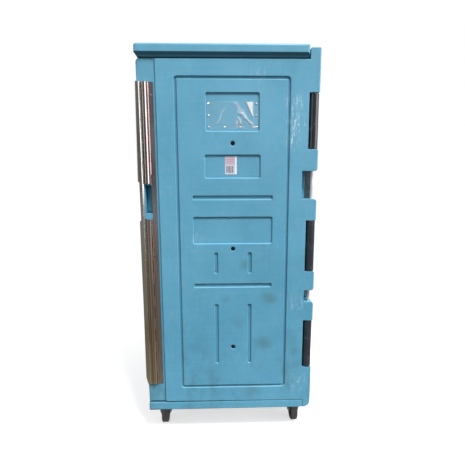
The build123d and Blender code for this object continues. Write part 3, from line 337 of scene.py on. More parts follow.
def new_piece(name, surface, material, body, stands_for, sharp):
    """Put a surface into a mesh, close its seams, turn its faces outwards and hang it."""
    points, quads = surface
    mesh = bpy.data.meshes.new(name)
    mesh.from_pydata(points.tolist(), [], quads.tolist())
    shape = bmesh.new()
    shape.from_mesh(mesh)
    bmesh.ops.remove_doubles(shape, verts=shape.verts, dist=1e-6)
    bmesh.ops.dissolve_degenerate(shape, edges=shape.edges, dist=1e-7)
    bmesh.ops.recalc_face_normals(shape, faces=shape.faces)
    shape.to_mesh(mesh)
    shape.free()
    return hang(name, mesh, material, body, stands_for, sharp)


def modify(piece, name, kind, **settings):
    """Give a piece a modifier with its settings."""
    made = piece.modifiers.new(name, kind)
    for key, value in settings.items():
        setattr(made, key, value)


def front_edges(shape):
    """The edges between two faces that both lie in the plane of the door's front."""
    return [edge for edge in shape.edges if len(edge.link_faces) == 2
            and all(face.normal.y < -0.9999 for face in edge.link_faces)
            and all(abs(vert.co.y - FACE_Y) < MERGE for vert in edge.verts)]


def long_edges(shape):
    """The long edges that stand out along the front, from side to side."""
    return [edge for edge in shape.edges if len(edge.link_faces) == 2 and edge.is_convex
            and abs(edge.verts[0].co.x - edge.verts[1].co.x) > LONG_EDGE
            and max(vert.co.y for vert in edge.verts) < FACE_Y + FRONT_DEPTH
            and edge.calc_face_angle() > SHARP_CORNER]


def softened(name, node, radius, material, body, segments=3, joins="all", ease=0.0):
    """A merged copy of a frame node with its edges rounded by radius.

    Faces in one plane are joined first: "all" of them, those of the door's "front", or "none".
    With ease, the long edges across the front are rounded by that much before the others.
    """
    mesh = NODES[node].data.copy()
    shape = bmesh.new()
    shape.from_mesh(mesh)
    bmesh.ops.remove_doubles(shape, verts=shape.verts, dist=MERGE)
    if joins != "none":
        chosen = ([], front_edges(shape)) if joins == "front" else (shape.verts, shape.edges)
        bmesh.ops.dissolve_limit(shape, angle_limit=FLAT_ANGLE, verts=chosen[0], edges=chosen[1],
                                 delimit=set())
    if ease:
        bmesh.ops.bevel(shape, geom=long_edges(shape), offset=ease, offset_type="OFFSET",
                        segments=3, profile=0.5, affect="EDGES", clamp_overlap=False)
    shape.to_mesh(mesh)
    shape.free()
    piece = hang(name, mesh, material, body, (node,), 180)
    modify(piece, "Edges", "BEVEL", width=radius, segments=segments, limit_method="ANGLE",
           angle_limit=ROUNDED_ANGLE, miter_outer="MITER_ARC", use_clamp_overlap=True)
    modify(piece, "Shading", "WEIGHTED_NORMAL", weight=60, keep_sharp=False)
    return piece


def dress(material, *nodes):
    """Give frame nodes their material."""
    for name in nodes:
        NODES[name].data.materials.clear()
        NODES[name].data.materials.append(material)


# ---------- shader building
def plug(tree, socket, value):
    """Link a value that is a socket, and set any other; a colour gets its alpha."""
    if isinstance(value, bpy.types.NodeSocket):
        tree.links.new(value, socket)
    elif socket.type == "RGBA" and len(value) == 3:
        socket.default_value = (*value, 1.0)
    else:
        socket.default_value = value


def add(tree, kind, inputs=None, **settings):
    """Add a shader node with its settings, then plug its inputs."""
    made = tree.nodes.new(kind)
    for key, value in settings.items():
        setattr(made, key, value)
    for key, value in (inputs or {}).items():
        plug(tree, made.inputs[key], value)
    return made


def folded(operation):
    """A function that joins values by one arithmetic step, from the first to the last."""

    def join(tree, first, *others):
        for other in others:
            made = add(tree, "ShaderNodeMath", {0: first, 1: other}, operation=operation)
            first = made.outputs[0]
        return first

    return join


times, plus, minus, most = (folded(name) for name in ("MULTIPLY", "ADD", "SUBTRACT", "MAXIMUM"))


def blend_colour(tree, factor, first, second):
    """Mix two colours by a factor."""
    made = add(tree, "ShaderNodeMix", {0: factor, 6: first, 7: second}, data_type="RGBA")
    return made.outputs[2]


def layer(tree, colour, mask, strength, tint):
    """Lay a tint over a colour where a mask is, at most as strongly as said."""
    return blend_colour(tree, times(tree, mask, strength), colour, tint)


def dimmed(tint, share):
    """A darker tint of the same hue."""
    return [share * value for value in tint]


def ramp(tree, value, low, high, start=0.0, end=1.0):
    """Carry a value smoothly from one range to another."""
    made = add(tree, "ShaderNodeMapRange", {"Value": value, "From Min": low, "From Max": high,
                                            "To Min": start, "To Max": end},
               interpolation_type="SMOOTHSTEP")
    return made.outputs["Result"]


def band(tree, value, low, high, edge=0.02):
    """A mask that is 1 between two levels and fades over the edge on each side."""
    rise = ramp(tree, value, low - edge, low + edge)
    fall = ramp(tree, value, high + edge, high - edge)
    return times(tree, rise, fall)


def object_place(tree):
    """The place on the piece, in metres."""
    return add(tree, "ShaderNodeTexCoord").outputs["Object"]


def object_axis(tree, axis):
    """One coordinate of the place on the piece."""
    return add(tree, "ShaderNodeSeparateXYZ", {"Vector": object_place(tree)}).outputs[axis]


def inside_box(tree, edge, **spans):
    """A mask that is 1 between the two levels given for each named axis."""
    return times(tree, *(band(tree, object_axis(tree, axis), low, high, edge)
                         for axis, (low, high) in spans.items()))


def share_between(tree, value, low, high):
    """How far a value is from low to high, from 0 to 1."""
    made = add(tree, "ShaderNodeMapRange", {"Value": value, "From Min": low, "From Max": high})
    return made.outputs["Result"]


def across_and_up(tree, node):
    """How far a place is across a node and up it, each from 0 to 1."""
    low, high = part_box(node)
    return (share_between(tree, object_axis(tree, "X"), low.x, high.x),
            share_between(tree, object_axis(tree, "Z"), low.z, high.z))


def opening_box(name):
    """The lowest and highest corners of an opening of the record, in metres."""
    openings = frame["record"]["physics"]["openings"]
    opening = next(item for item in openings if item["name"] == name)
    return [Vector(corner_glare) for corner_glare in opening["box_m"]]


def effect_group(name, inputs, outputs, fill):
    """A node group with named sockets, built once; fill returns its outputs by name."""
    if name in bpy.data.node_groups:
        return bpy.data.node_groups[name]
    tree = bpy.data.node_groups.new(name, "ShaderNodeTree")
    for title, default in inputs.items():
        kind = "NodeSocketVector" if isinstance(default, tuple) else "NodeSocketFloat"
        made = tree.interface.new_socket(name=title, in_out="INPUT", socket_type=kind)
        made.default_value = default
    for title in outputs:
        tree.interface.new_socket(name=title, in_out="OUTPUT", socket_type="NodeSocketFloat")
    entry = tree.nodes.new("NodeGroupInput")
    leave = tree.nodes.new("NodeGroupOutput")
    for title, socket in fill(tree, entry.outputs).items():
        tree.links.new(socket, leave.inputs[title])
    return tree


def use_group(tree, group, inputs):
    """Place a group with its own values and return its first output."""
    return add(tree, "ShaderNodeGroup", inputs, node_tree=group).outputs[0]


def patches_group():
    """Soft patches: noise at one scale, cut between two levels."""

    def fill(tree, entry):
        stretched = add(tree, "ShaderNodeMapping", {"Vector": object_place(tree),
                                                    "Scale": entry["Stretch"]})
        noise = add(tree, "ShaderNodeTexNoise", {"Vector": stretched.outputs[0], "Detail": 5.0,
                                                 "Scale": entry["Scale"],
                                                 "Roughness": entry["Roughness"]})
        return {"Mask": ramp(tree, noise.outputs["Fac"], entry["Low"], entry["High"])}

    inputs = {"Scale": 5.0, "Stretch": (1, 1, 1), "Roughness": 0.55, "Low": 0.4, "High": 0.6}
    return effect_group("patches", inputs, ("Mask",), fill)


def patches(tree, scale, low, high, roughness=0.55, stretch=(1, 1, 1)):
    """Soft patches as a mask; where stretch is small they are long along that axis."""
    return use_group(tree, patches_group(), {"Scale": scale, "Stretch": stretch,
                                             "Roughness": roughness, "Low": low, "High": high})


def spot_group():
    """One rubbed spot: a soft ball round a place, broken up by noise."""

    def fill(tree, entry):
        place = object_place(tree)
        away = add(tree, "ShaderNodeVectorMath", {0: place, 1: entry["Place"]},
                   operation="DISTANCE")
        noise = add(tree, "ShaderNodeTexNoise", {"Vector": place, "Scale": entry["Break Up"],
                                                 "Detail": 6.0})
        wobble = times(tree, noise.outputs["Fac"], entry["Radius"])
        mask = ramp(tree, plus(tree, away.outputs["Value"], wobble),
                    times(tree, entry["Radius"], 1.5), times(tree, entry["Radius"], 0.5))
        return {"Mask": times(tree, mask, entry["Strength"])}

    inputs = {"Place": (0, 0, 0), "Radius": 0.05, "Break Up": 30.0, "Strength": 1.0}
    return effect_group("rubbed_spot", inputs, ("Mask",), fill)


def rubbed_spots(tree, table, break_up):
    """A mask for each rubbed spot of a table."""
    return [use_group(tree, spot_group(), {"Place": (PANEL_MID.x + across, FACE_Y, height),
                                           "Radius": radius, "Break Up": break_up,
                                           "Strength": strength})
            for across, height, radius, strength in table]


def grain_group():
    """Height of a moulded or cast surface: a fine grain on slow waves."""

    def fill(tree, entry):
        place = object_place(tree)
        heights = []
        for title, detail in (("Grain", 3.0), ("Wave", 1.0)):
            noise = add(tree, "ShaderNodeTexNoise", {"Vector": place, "Detail": detail,
                                                     "Scale": entry[title + " Scale"]})
            heights.append(times(tree, noise.outputs["Fac"], entry[title]))
        return {"Height": plus(tree, *heights)}

    inputs = {"Grain Scale": 400.0, "Grain": 0.1, "Wave Scale": 6.0, "Wave": 1.0}
    return effect_group("moulded_grain", inputs, ("Height",), fill)


def shelter_group():
    """How shut in a place is, by its own hollows or by gaps between pieces: 0 on open ground. Its masks lay
    painted shade.
    """

    def fill(tree, entry):
        own = add(tree, "ShaderNodeAmbientOcclusion", {"Distance": entry["Reach"]},
                  only_local=True, samples=8)
        every = add(tree, "ShaderNodeAmbientOcclusion", {"Distance": entry["Gap Reach"]}, samples=8)
        return {"Corner": ramp(tree, own.outputs["AO"], entry["Open"], entry["Shut"]),
                "Gap": ramp(tree, every.outputs["AO"], 0.88, 0.50)}

    inputs = {"Reach": 0.01, "Gap Reach": 0.010, "Open": 0.95, "Shut": 0.45}
    return effect_group("shelter", inputs, ("Corner", "Gap"), fill)


def new_material(name, roughness, metallic=0.0):
    """A material with one Principled shader whose plain constants sit on its own sockets."""
    material = bpy.data.materials.new(name)
    material.use_nodes = True
    tree = material.node_tree
    shader = tree.nodes["Principled BSDF"]
    shader.inputs["Roughness"].default_value = roughness
    shader.inputs["Metallic"].default_value = metallic
    return material, tree, shader


def feed(tree, shader, colour, roughness=None, height=None, distance=0.001, edge=0.0):
    """Link a colour, a roughness and a height with its distance; edge rounds the shading."""
    tree.links.new(colour, shader.inputs["Base Color"])
    if roughness is not None:
        tree.links.new(roughness, shader.inputs["Roughness"])
    if height is not None:
        bump = add(tree, "ShaderNodeBump", {"Height": height, "Strength": 1.0,
                                            "Distance": distance})
        if edge:
            eased = add(tree, "ShaderNodeBevel", {"Radius": edge}, samples=6)
            tree.links.new(eased.outputs["Normal"], bump.inputs["Normal"])
        tree.links.new(bump.outputs["Normal"], shader.inputs["Normal"])


# ---------- materials
def shell_plastic():
    """Rotomoulded polyethylene: faded, dirtied and scuffed, with painted light towards its top and in the finger
    recess, painted shade in grooves, gaps and undersides, and a fine grain on slow waves.
    """
    settings = bpy.context.scene.carrier_shell
    material, tree, shader = new_material("shell_plastic", 0.42)
    colour = rubbed_colour(tree, faded_colour(tree, settings), settings)
    colour = sheltered_colour(tree, colour, settings)
    gloss = patches(tree, 9.0, 0.3, 0.7)
    grain = use_group(tree, grain_group(), {"Grain Scale": 620.0, "Grain": 0.06,
                                            "Wave Scale": 5.0, "Wave": 1.0})
    feed(tree, shader, colour, ramp(tree, gloss, 0.0, 1.0, 0.36, 0.52), grain, 0.0035, 0.0030)
    return material


def faded_colour(tree, settings):
    """Plastic in random faded patches and painted lighter towards its top, finely mottled, with faint level
    streaks.
    """
    # Painted light: the skin is lighter towards its top, as light falls from above.
    lit_top = ramp(tree, object_axis(tree, "Z"), 0.25, 1.55)
    faded = times(tree, plus(tree, patches(tree, 2.4, 0.30, 0.72), lit_top), 0.5)
    colour = blend_colour(tree, faded, settings.colour, settings.faded)
    colour = layer(tree, colour, patches(tree, 26.0, 0.42, 0.75, 0.7), 0.16, MOTTLED)
    streaks = patches(tree, 9.0, 0.40, 0.70, 0.7, (0.5, 1.0, 14.0))
    return layer(tree, colour, streaks, 0.10, BRUSHED)


def rubbed_colour(tree, colour, settings):
    """Dirt that thickens near the floor, smudges, and pale scratches that gather in the scuffs."""
    near_floor = ramp(tree, object_axis(tree, "Z"), 0.62, 0.12)
    dirt = times(tree, patches(tree, 7.0, 0.46, 0.70, 0.68, (1.6, 1.6, 0.7)),
                 plus(tree, times(tree, near_floor, 0.40), 0.10))
    rubbed = most(tree, dirt, *rubbed_spots(tree, SMUDGES, 22.0))
    colour = blend_colour(tree, rubbed, colour, settings.grime)
    scratch = patches(tree, 34.0, 0.50, 0.62, 0.75, (5.0, 5.0, 0.9))
    worn = most(tree, *rubbed_spots(tree, SCUFFS, 60.0))
    pale = times(tree, scratch, plus(tree, times(tree, worn, 0.97), 0.03))
    return blend_colour(tree, pale, colour, SCRATCHED)


def sheltered_colour(tree, colour, settings):
    """The finger recess with painted light, painted shade with some dust in grooves and corners, and painted shade
    in gaps and on faces that look down.
    """
    # Painted light: the deep finger recess is laid with a lighter colour.
    low, high = opening_box("finger_recess")
    recess_light = times(tree, inside_box(tree, 0.001, X=(low.x, high.x), Z=(low.z, high.z)),
                 inside_box(tree, 0.002, Y=[FACE_Y + depth for depth in RECESS_LIGHT_DEPTHS]))
    colour = blend_colour(tree, recess_light, colour, settings.recess)
    # Painted shade with some dust in grooves and corners, by the skin's own occlusion.
    shelter = add(tree, "ShaderNodeGroup", node_tree=shelter_group()).outputs
    colour = layer(tree, colour, shelter["Corner"], 0.45, settings.shadowed)
    # Painted shade in gaps between pieces, kept off the card pocket's film.
    low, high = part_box("card_pocket")
    on_card = inside_box(tree, 0.001, X=(low.x - CARD_MARGIN, high.x + CARD_MARGIN),
                         Z=(low.z - CARD_MARGIN, high.z + CARD_MARGIN))
    gap = times(tree, shelter["Gap"], minus(tree, 1.0, on_card))
    colour = layer(tree, colour, gap, 0.75, settings.gap)
    # Painted shade on faces that look down, weaker within the panel's shallow relief.
    normal = add(tree, "ShaderNodeNewGeometry").outputs["Normal"]
    facing = add(tree, "ShaderNodeSeparateXYZ", {"Vector": normal}).outputs["Z"]
    relief = inside_box(tree, 0.0006, Y=(FACE_Y, FACE_Y + RELIEF_DEPTH))
    shade_below = times(tree, ramp(tree, facing, -0.25, -0.8), ramp(tree, relief, 0.0, 1.0, 1.0, 0.15))
    return layer(tree, colour, shade_below, 0.72, settings.gap)


def worn_steel():
    """The handle's folded sheet: painted reflections, pink at its hinge, dark along its folds and darker below the
    window, with soot and gold-brown patches that are partly stains and partly painted darker reflection.
    """
    settings = bpy.context.scene.carrier_latch
    material, tree, shader = new_material("latch_steel", 0.3, 1.0)
    low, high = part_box("latch_handle")
    wander = times(tree, patches(tree, 5.0, 0.2, 0.8, stretch=(1, 1, 1.5)), 0.0022)
    across = share_between(tree, plus(tree, object_axis(tree, "X"), wander), low.x, high.x)
    # Painted reflection: the sheet's colours are darker below the window and pink towards the hinge.
    below = ramp(tree, object_axis(tree, "Z"), 1.02, 0.80)
    pink_reflection = blend_colour(tree, below, settings.pink_reflection, settings.pink_reflection_below)
    colour = blend_colour(tree, ramp(tree, across, 0.60, 0.92), settings.steel, pink_reflection)
    # Painted reflections: dark stripes along the valley of the fold and the small ridge's crest.
    colour = layer(tree, colour, band(tree, across, 0.46, 0.55), 0.75, settings.valley)
    colour = layer(tree, colour, band(tree, across, 0.68, 0.80), 0.8, settings.crest)
    # Gold-brown patches, heavier below and at the outer edge: partly stains, partly painted darker reflection.
    amount = plus(tree, times(tree, below, 0.62), 0.12)
    outer = ramp(tree, across, 1.15, 0.35, 0.70, 1.0)
    stain = patches(tree, 7.0, 0.30, 0.62, 0.6, (2.0, 2.0, 0.4))
    amount = times(tree, amount, outer, ramp(tree, stain, 0.0, 1.0, 0.55, 1.0))
    colour = blend_colour(tree, amount, colour, settings.stain)
    soot = patches(tree, 26.0, 0.55, 0.75, 0.75, (3.0, 3.0, 0.5))
    colour = layer(tree, colour, soot, 0.3, SOOT)
    smear = patches(tree, 14.0, 0.3, 0.7, stretch=(1, 1, 0.25))
    feed(tree, shader, colour, ramp(tree, smear, 0.0, 1.0, 0.16, 0.32), smear, 0.0002)
    return material


def plain_steel(name, tint, roughness_span, metallic=1.0):
    """Satin stainless steel: fine lines along its length and a few dull patches."""
    material, tree, shader = new_material(name, 0.3, metallic)
    line = patches(tree, 160.0, 0.3, 0.7, stretch=(4.0, 4.0, 0.1))
    colour = blend_colour(tree, line, dimmed(tint, 0.8), tint)
    dull = patches(tree, 12.0, 0.48, 0.72)
    colour = layer(tree, colour, dull, 0.35, dimmed(tint, 0.55))
    feed(tree, shader, colour, ramp(tree, dull, 0.0, 1.0, *roughness_span), line, 0.0001)
    return material


def satin_plastic(name, tint, dust, roughness_span, grain_scale=500.0):
    """Moulded plastic or rubber with dust in patches, scratches and a fine grain."""
    material, tree, shader = new_material(name, 0.5)
    dusty = patches(tree, 18.0, 0.42, 0.78, 0.7)
    colour = layer(tree, tint, dusty, dust, DUST)
    scratch = patches(tree, 70.0, 0.64, 0.70, 0.75, (3.0, 3.0, 0.5))
    colour = layer(tree, colour, scratch, 0.4 * dust + 0.05, GREY_SCRATCH)
    grain = use_group(tree, grain_group(), {"Grain Scale": grain_scale, "Grain": 0.3,
                                            "Wave Scale": 20.0, "Wave": 0.6})
    feed(tree, shader, colour, ramp(tree, dusty, 0.0, 1.0, *roughness_span), grain, 0.0004)
    return material


def clear_film():
    """Clear flexible sheet: almost unseen, with pale crease lines of painted glare and a bright painted glare
    towards its top right.
    """
    settings = bpy.context.scene.carrier_hardware
    material, tree, shader = new_material("clear_film", 0.10)
    across, upward = across_and_up(tree, "card_pocket")
    wander = times(tree, patches(tree, 34.0, 0.2, 0.8), 0.10)
    creases_and_glare = []
    # Pale crease lines: real creases in the bump, painted glare in the alpha.
    for start, lean, width, foot, head, strength in FILM_CREASES_AND_GLARE:
        line = plus(tree, times(tree, upward, lean), start)
        off = add(tree, "ShaderNodeMath", {0: minus(tree, plus(tree, across, wander), line)},
                  operation="ABSOLUTE").outputs[0]
        creases_and_glare.append(times(tree, ramp(tree, off, width, 0.0, 0.0, strength),
                             band(tree, upward, foot, head)))
    creases_and_glare = most(tree, *creases_and_glare)
    # Haze patches, partly painted glare.
    haze_and_glare = patches(tree, 14.0, 0.35, 0.75, 0.6)
    # Painted glare: a bright slanted patch towards the top right of the film.
    slant = minus(tree, times(tree, minus(tree, across, 0.76), 4.2), minus(tree, 0.99, upward))
    corner_glare = times(tree, ramp(tree, slant, -0.04, 0.06), band(tree, across, 0.70, 0.895),
                   band(tree, upward, 0.38, 0.985))
    rim = minus(tree, 1.0, times(tree, band(tree, across, 0.085, 0.905),
                                 band(tree, upward, 0.16, 0.97)))
    alpha = most(tree, plus(tree, times(tree, haze_and_glare, 0.05), 0.02), creases_and_glare,
                 times(tree, corner_glare, 0.95), times(tree, rim, 0.05))
    tree.links.new(alpha, shader.inputs["Alpha"])
    colour = blend_colour(tree, haze_and_glare, settings.film, dimmed(settings.film, 0.86))
    feed(tree, shader, colour, height=creases_and_glare, distance=0.0008)
    return material


def label_paper():
    """White paper label: plain dark bars below, faint rows above, a painted sheen strip at its right."""
    material, tree, shader = new_material("label_paper", 0.5)
    across, upward = across_and_up(tree, "label_sticker")
    waves = []
    for direction, scale, distortion, detail, detail_scale in (("X", 55.0, 2.5, 1.0, 4.0),
                                                               ("Z", 42.0, 1.5, 2.0, 6.0)):
        made = add(tree, "ShaderNodeTexWave", {"Vector": object_place(tree), "Scale": scale,
                                               "Distortion": distortion, "Detail": detail,
                                               "Detail Scale": detail_scale},
                   bands_direction=direction)
        waves.append(made.outputs["Fac"])
    bars = times(tree, ramp(tree, waves[0], 0.35, 0.55),
                 times(tree, band(tree, upward, 0.08, 0.46), band(tree, across, 0.12, 0.72)))
    rows = times(tree, ramp(tree, waves[1], 0.45, 0.70), band(tree, upward, 0.52, 0.92),
                 band(tree, across, 0.12, 0.80))
    tint = blend_colour(tree, ramp(tree, upward, 0.35, 0.70), LABEL_LOW, LABEL_HIGH)
    # Painted sheen: a pale strip at the label's right.
    tint = blend_colour(tree, band(tree, across, 0.86, 0.98), tint, LABEL_PAINTED_SHEEN)
    ink = most(tree, bars, times(tree, rows, 0.38))
    feed(tree, shader, blend_colour(tree, ink, tint, LABEL_INK))
    return material


def foam():
    """Rigid foam: pale, porous, darker in its pores."""
    material, tree, shader = new_material("foam_core", 0.9)
    pores = add(tree, "ShaderNodeTexVoronoi", {"Vector": object_place(tree), "Scale": 260.0})
    depth = ramp(tree, pores.outputs["Distance"], 0.1, 0.7)
    feed(tree, shader, blend_colour(tree, depth, FOAM_SKIN, FOAM_PORE), height=depth,
         distance=0.0006)
    return material


# ---------- pieces
class CARRIER_OT_skins(bpy.types.Operator):
    """Make the moulded skins of the cabinet and the door, and dress the foam inside them"""

    bl_idname = "carrier.skins"
    bl_label = "Skins"

    def execute(self, context):
        settings = context.scene.carrier_shell
        plastic = shell_plastic()
        softened("cabinet_skin", "cabinet_shell", settings.cabinet_edge, plastic, "cabinet",
                 joins="none", ease=settings.long_edge)
        softened("door_skin", "door_shell", settings.door_edge, plastic, "door",
                 joins="front", ease=settings.long_edge)
        dress(foam(), "cabinet_foam", "door_foam")
        return {"FINISHED"}


class CARRIER_OT_gasket(bpy.types.Operator):
    """Make the door's seal: a soft double bulb carried round the cabin mouth"""

    bl_idname = "carrier.gasket"
    bl_label = "Gasket"

    def execute(self, context):
        rubber = satin_plastic("seal_rubber", (0.03, 0.03, 0.032), 0.25, (0.5, 0.75))
        new_piece("gasket", gasket_surface(), rubber, "door", ("door_gasket",), 60)
        return {"FINISHED"}


def gasket_surface():
    """A lobed cross-section carried round a rectangle with rounded corners.

    The section is an ellipse that narrows at its sides and at its front and back. Each point of
    the path has a place and the direction that points outwards there.
    """
    low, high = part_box("door_gasket")
    depth = (high.y - low.y) / 2
    angle = np.linspace(0, 2 * math.pi, 28, endpoint=False)
    lobe = 1 - 0.16 * np.cos(2 * angle) ** 6
    section = np.stack([0.5 * GASKET_WIDTH * np.cos(angle) * lobe, depth * np.sin(angle)], -1)
    half = np.array([(high.x - low.x) / 2, (high.z - low.z) / 2]) - GASKET_WIDTH / 2
    turn = np.linspace(0, math.pi / 2, 9)
    corners = []
    for index, (side_x, side_z) in enumerate(((1, 1), (-1, 1), (-1, -1), (1, -1))):
        angles = turn + index * math.pi / 2
        outwards = np.stack([np.cos(angles), np.sin(angles)], -1)
        centre = np.array([side_x, side_z]) * (half - GASKET_CORNER)
        corners.append(np.concatenate([centre + GASKET_CORNER * outwards, outwards], 1))
    path = np.concatenate(corners)
    middle = (low + high) / 2
    x = middle.x + path[:, None, 0] + section[None, :, 0] * path[:, None, 2]
    z = middle.z + path[:, None, 1] + section[None, :, 0] * path[:, None, 3]
    y = middle.y + np.broadcast_to(section[None, :, 1], x.shape)
    return np.stack([x, y, z], -1).reshape(-1, 3), grid_quads(len(path), len(section), True)


class CARRIER_OT_hinges(bpy.types.Operator):
    """Make the black barrels, the post and the brackets, and dress the pin, strikes and bolts"""

    bl_idname = "carrier.hinges"
    bl_label = "Hinges"

    def execute(self, context):
        settings = context.scene.carrier_hardware
        black = satin_plastic("barrel_black", settings.barrel, 0.10, (0.20, 0.32), 800.0)
        black.node_tree.nodes["Principled BSDF"].inputs["Specular IOR Level"].default_value = 0.7
        for place in HINGES:
            softened("barrel_" + place, "hinge_barrel_" + place, 0.0012, black, "cabinet")
        steel = plain_steel("stainless", settings.steel, (0.24, 0.45))
        dull = plain_steel("post_steel", (0.24, 0.29, 0.30), (0.24, 0.40))
        softened("post", "hinge_post", 0.0022, dull, "cabinet")
        dress(plain_steel("pin_steel", (0.80, 0.80, 0.80), (0.3, 0.5), 0.45), "hinge_pin")
        dress(steel, "latch_strike_lower", "latch_strike_upper", "strike_screws", "bracket_bolts")
        dark = satin_plastic("bracket_paint", (0.035, 0.036, 0.04), 0.2, (0.4, 0.6))
        for place in HINGES:
            softened("bracket_" + place, "hinge_bracket_" + place, 0.0015, dark, "cabinet")
        return {"FINISHED"}


class CARRIER_OT_latch(bpy.types.Operator):
    """Make the long folded handle and its fixed leaf, and dress its pin and screws"""

    bl_idname = "carrier.latch"
    bl_label = "Latch"

    def execute(self, context):
        steel = worn_steel()
        sheet = softened("latch_sheet", "latch_handle", 0.0006, steel, "latch", 2)
        knock_about(sheet.data, context.scene.carrier_latch.dent)
        softened("latch_fixed_leaf", "latch_leaf", 0.0004, steel, "door", 2)
        dress(steel, "latch_pin", "latch_screws")
        return {"FINISHED"}


def knock_about(mesh, wave):
    """Bend the sheet out of true: its outer edge is knocked in, and it waves along its length.

    The push comes from a table of distances at heights, joined by straight lines. It is whole at
    the outer edge and fades to nothing a little way in, as 1 minus the distance over the fade.
    The wave is a sum of two sines of the height, and is nothing at the sheet's two long edges.
    """
    low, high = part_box("latch_handle")
    shape = bmesh.new()
    shape.from_mesh(mesh)
    for height in np.linspace(low.z, high.z, KNOCK_CUTS)[1:-1]:
        bmesh.ops.bisect_plane(shape, geom=shape.verts[:] + shape.edges[:] + shape.faces[:],
                               dist=1e-6, plane_co=(0, 0, height), plane_no=(0, 0, 1))
    shape.to_mesh(mesh)
    shape.free()
    points = np.empty(len(mesh.vertices) * 3)
    mesh.vertices.foreach_get("co", points)
    points = points.reshape(-1, 3)
    share = (points[:, 2] - low.z) / (high.z - low.z)
    push = 0.001 * np.interp(share, KNOCK_HEIGHTS, KNOCK_DEPTHS)
    points[:, 0] += push * np.clip(1 - (points[:, 0] - low.x) / KNOCK_FADE, 0, 1)
    x, z = points[:, 0], points[:, 2]
    away = (np.clip((x - low.x) / WAVE_FADES[0], 0, 1)
            * np.clip((high.x - x) / WAVE_FADES[1], 0, 1))
    slow = np.sin(17.0 * z + 60.0 * x) + 0.6 * np.sin(41.0 * z - 90.0 * x)
    points[:, 1] += wave * away * (slow + 1.6) / 3.2
    mesh.vertices.foreach_set("co", points.ravel())
    mesh.update()


class CARRIER_OT_fittings(bpy.types.Operator):
    """Make the card pocket's film, and dress its rivets, the blank label and the hole plugs"""

    bl_idname = "carrier.fittings"
    bl_label = "Door Fittings"

    def execute(self, context):
        surface = film_surface(context.scene.carrier_hardware.film_wave)
        film = new_piece("card_film", surface, clear_film(), "door",
                         ("card_pocket",), 180)
        modify(film, "Sheet", "SOLIDIFY", thickness=FILM_THICK, offset=0.0)
        dress(plain_steel("rivet_aluminium", (0.85, 0.87, 0.88), (0.25, 0.40)), "card_rivets")
        dress(label_paper(), "label_sticker")
        dress(satin_plastic("plug_rubber", (0.015, 0.017, 0.02), 0.1, (0.55, 0.8)), "foam_plugs")
        return {"FINISHED"}


def film_surface(wave):
    """The card pocket's film on a grid: flat at its riveted edge, raised within it, and buckled.

    The rise is a smooth step of the distance from the nearest edge. The buckle is a sum of sines
    across and up the sheet, times the same step, so that the edge stays flat.
    """
    low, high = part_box("card_pocket")
    u, v = np.meshgrid(*(np.linspace(0, 1, count) for count in FILM_GRID), indexing="ij")
    x = low.x + u * (high.x - low.x)
    z = low.z + v * (high.z - low.z)
    inside = np.minimum(np.minimum(x - low.x, high.x - x), z - low.z)
    step = np.clip((inside - FILM_FLAT_EDGE) / FILM_SLOPE, 0, 1)
    step = step * step * (3 - 2 * step)
    buckle = (np.sin(52 * x + 31 * z) + 0.7 * np.sin(117 * x - 64 * z + 1.0)
              + 0.5 * np.sin(38 * x + 143 * z))
    rise = high.y - low.y - 2 * FILM_THICK
    y = high.y - FILM_THICK - step * (rise - wave + wave * buckle / 2.2)
    return np.stack([x, y, z], -1).reshape(-1, 3), grid_quads(*FILM_GRID, False)


class CARRIER_OT_rack(bpy.types.Operator):
    """Dress the tray posts, the runners and their studs"""

    bl_idname = "carrier.rack"
    bl_label = "Tray Rack"

    def execute(self, context):
        steel = plain_steel("rack_steel", (0.60, 0.60, 0.60), (0.28, 0.5))
        dress(steel, "tray_posts_left", "tray_runners_left", "tray_posts_right",
              "tray_runners_right", "rack_studs")
        return {"FINISHED"}


class CARRIER_OT_casters(bpy.types.Operator):
    """Make the tyres, hubs, forks and plates, and dress the kingpins, axles and bolts"""

    bl_idname = "carrier.casters"
    bl_label = "Casters"

    def execute(self, context):
        settings = context.scene.carrier_casters
        zinc = plain_steel("caster_zinc", (0.40, 0.40, 0.40), (0.32, 0.55))
        paint = satin_plastic("caster_paint", settings.plate, 0.3, (0.4, 0.65))
        rubber = satin_plastic("tyre_rubber", settings.tyre, 0.5, (0.6, 0.85), 300.0)
        hub = satin_plastic("hub_plastic", settings.hub, 0.4, (0.45, 0.65))
        for place in CASTERS:
            wheel, fork, node = "wheel_" + place, "fork_" + place, "caster_tyre_" + place
            joint = JOINTS["roll_" + place]
            tyre = tyre_surface(joint["pos_m"], joint["axis"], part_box(node)[1].z / 2)
            new_piece("tyre_" + place, tyre, rubber, wheel, (node,), 60)
            softened("hub_" + place, "caster_wheel_" + place, 0.001, hub, wheel, 2)
            softened(fork, "caster_fork_" + place, 0.0012, zinc, fork, 2)
            softened("plate_" + place, "caster_plate_" + place, 0.0012, paint, "cabinet",
                     2)
            dress(zinc, "caster_kingpin_" + place, "caster_axle_" + place)
        dress(zinc, "caster_bolts")
        return {"FINISHED"}


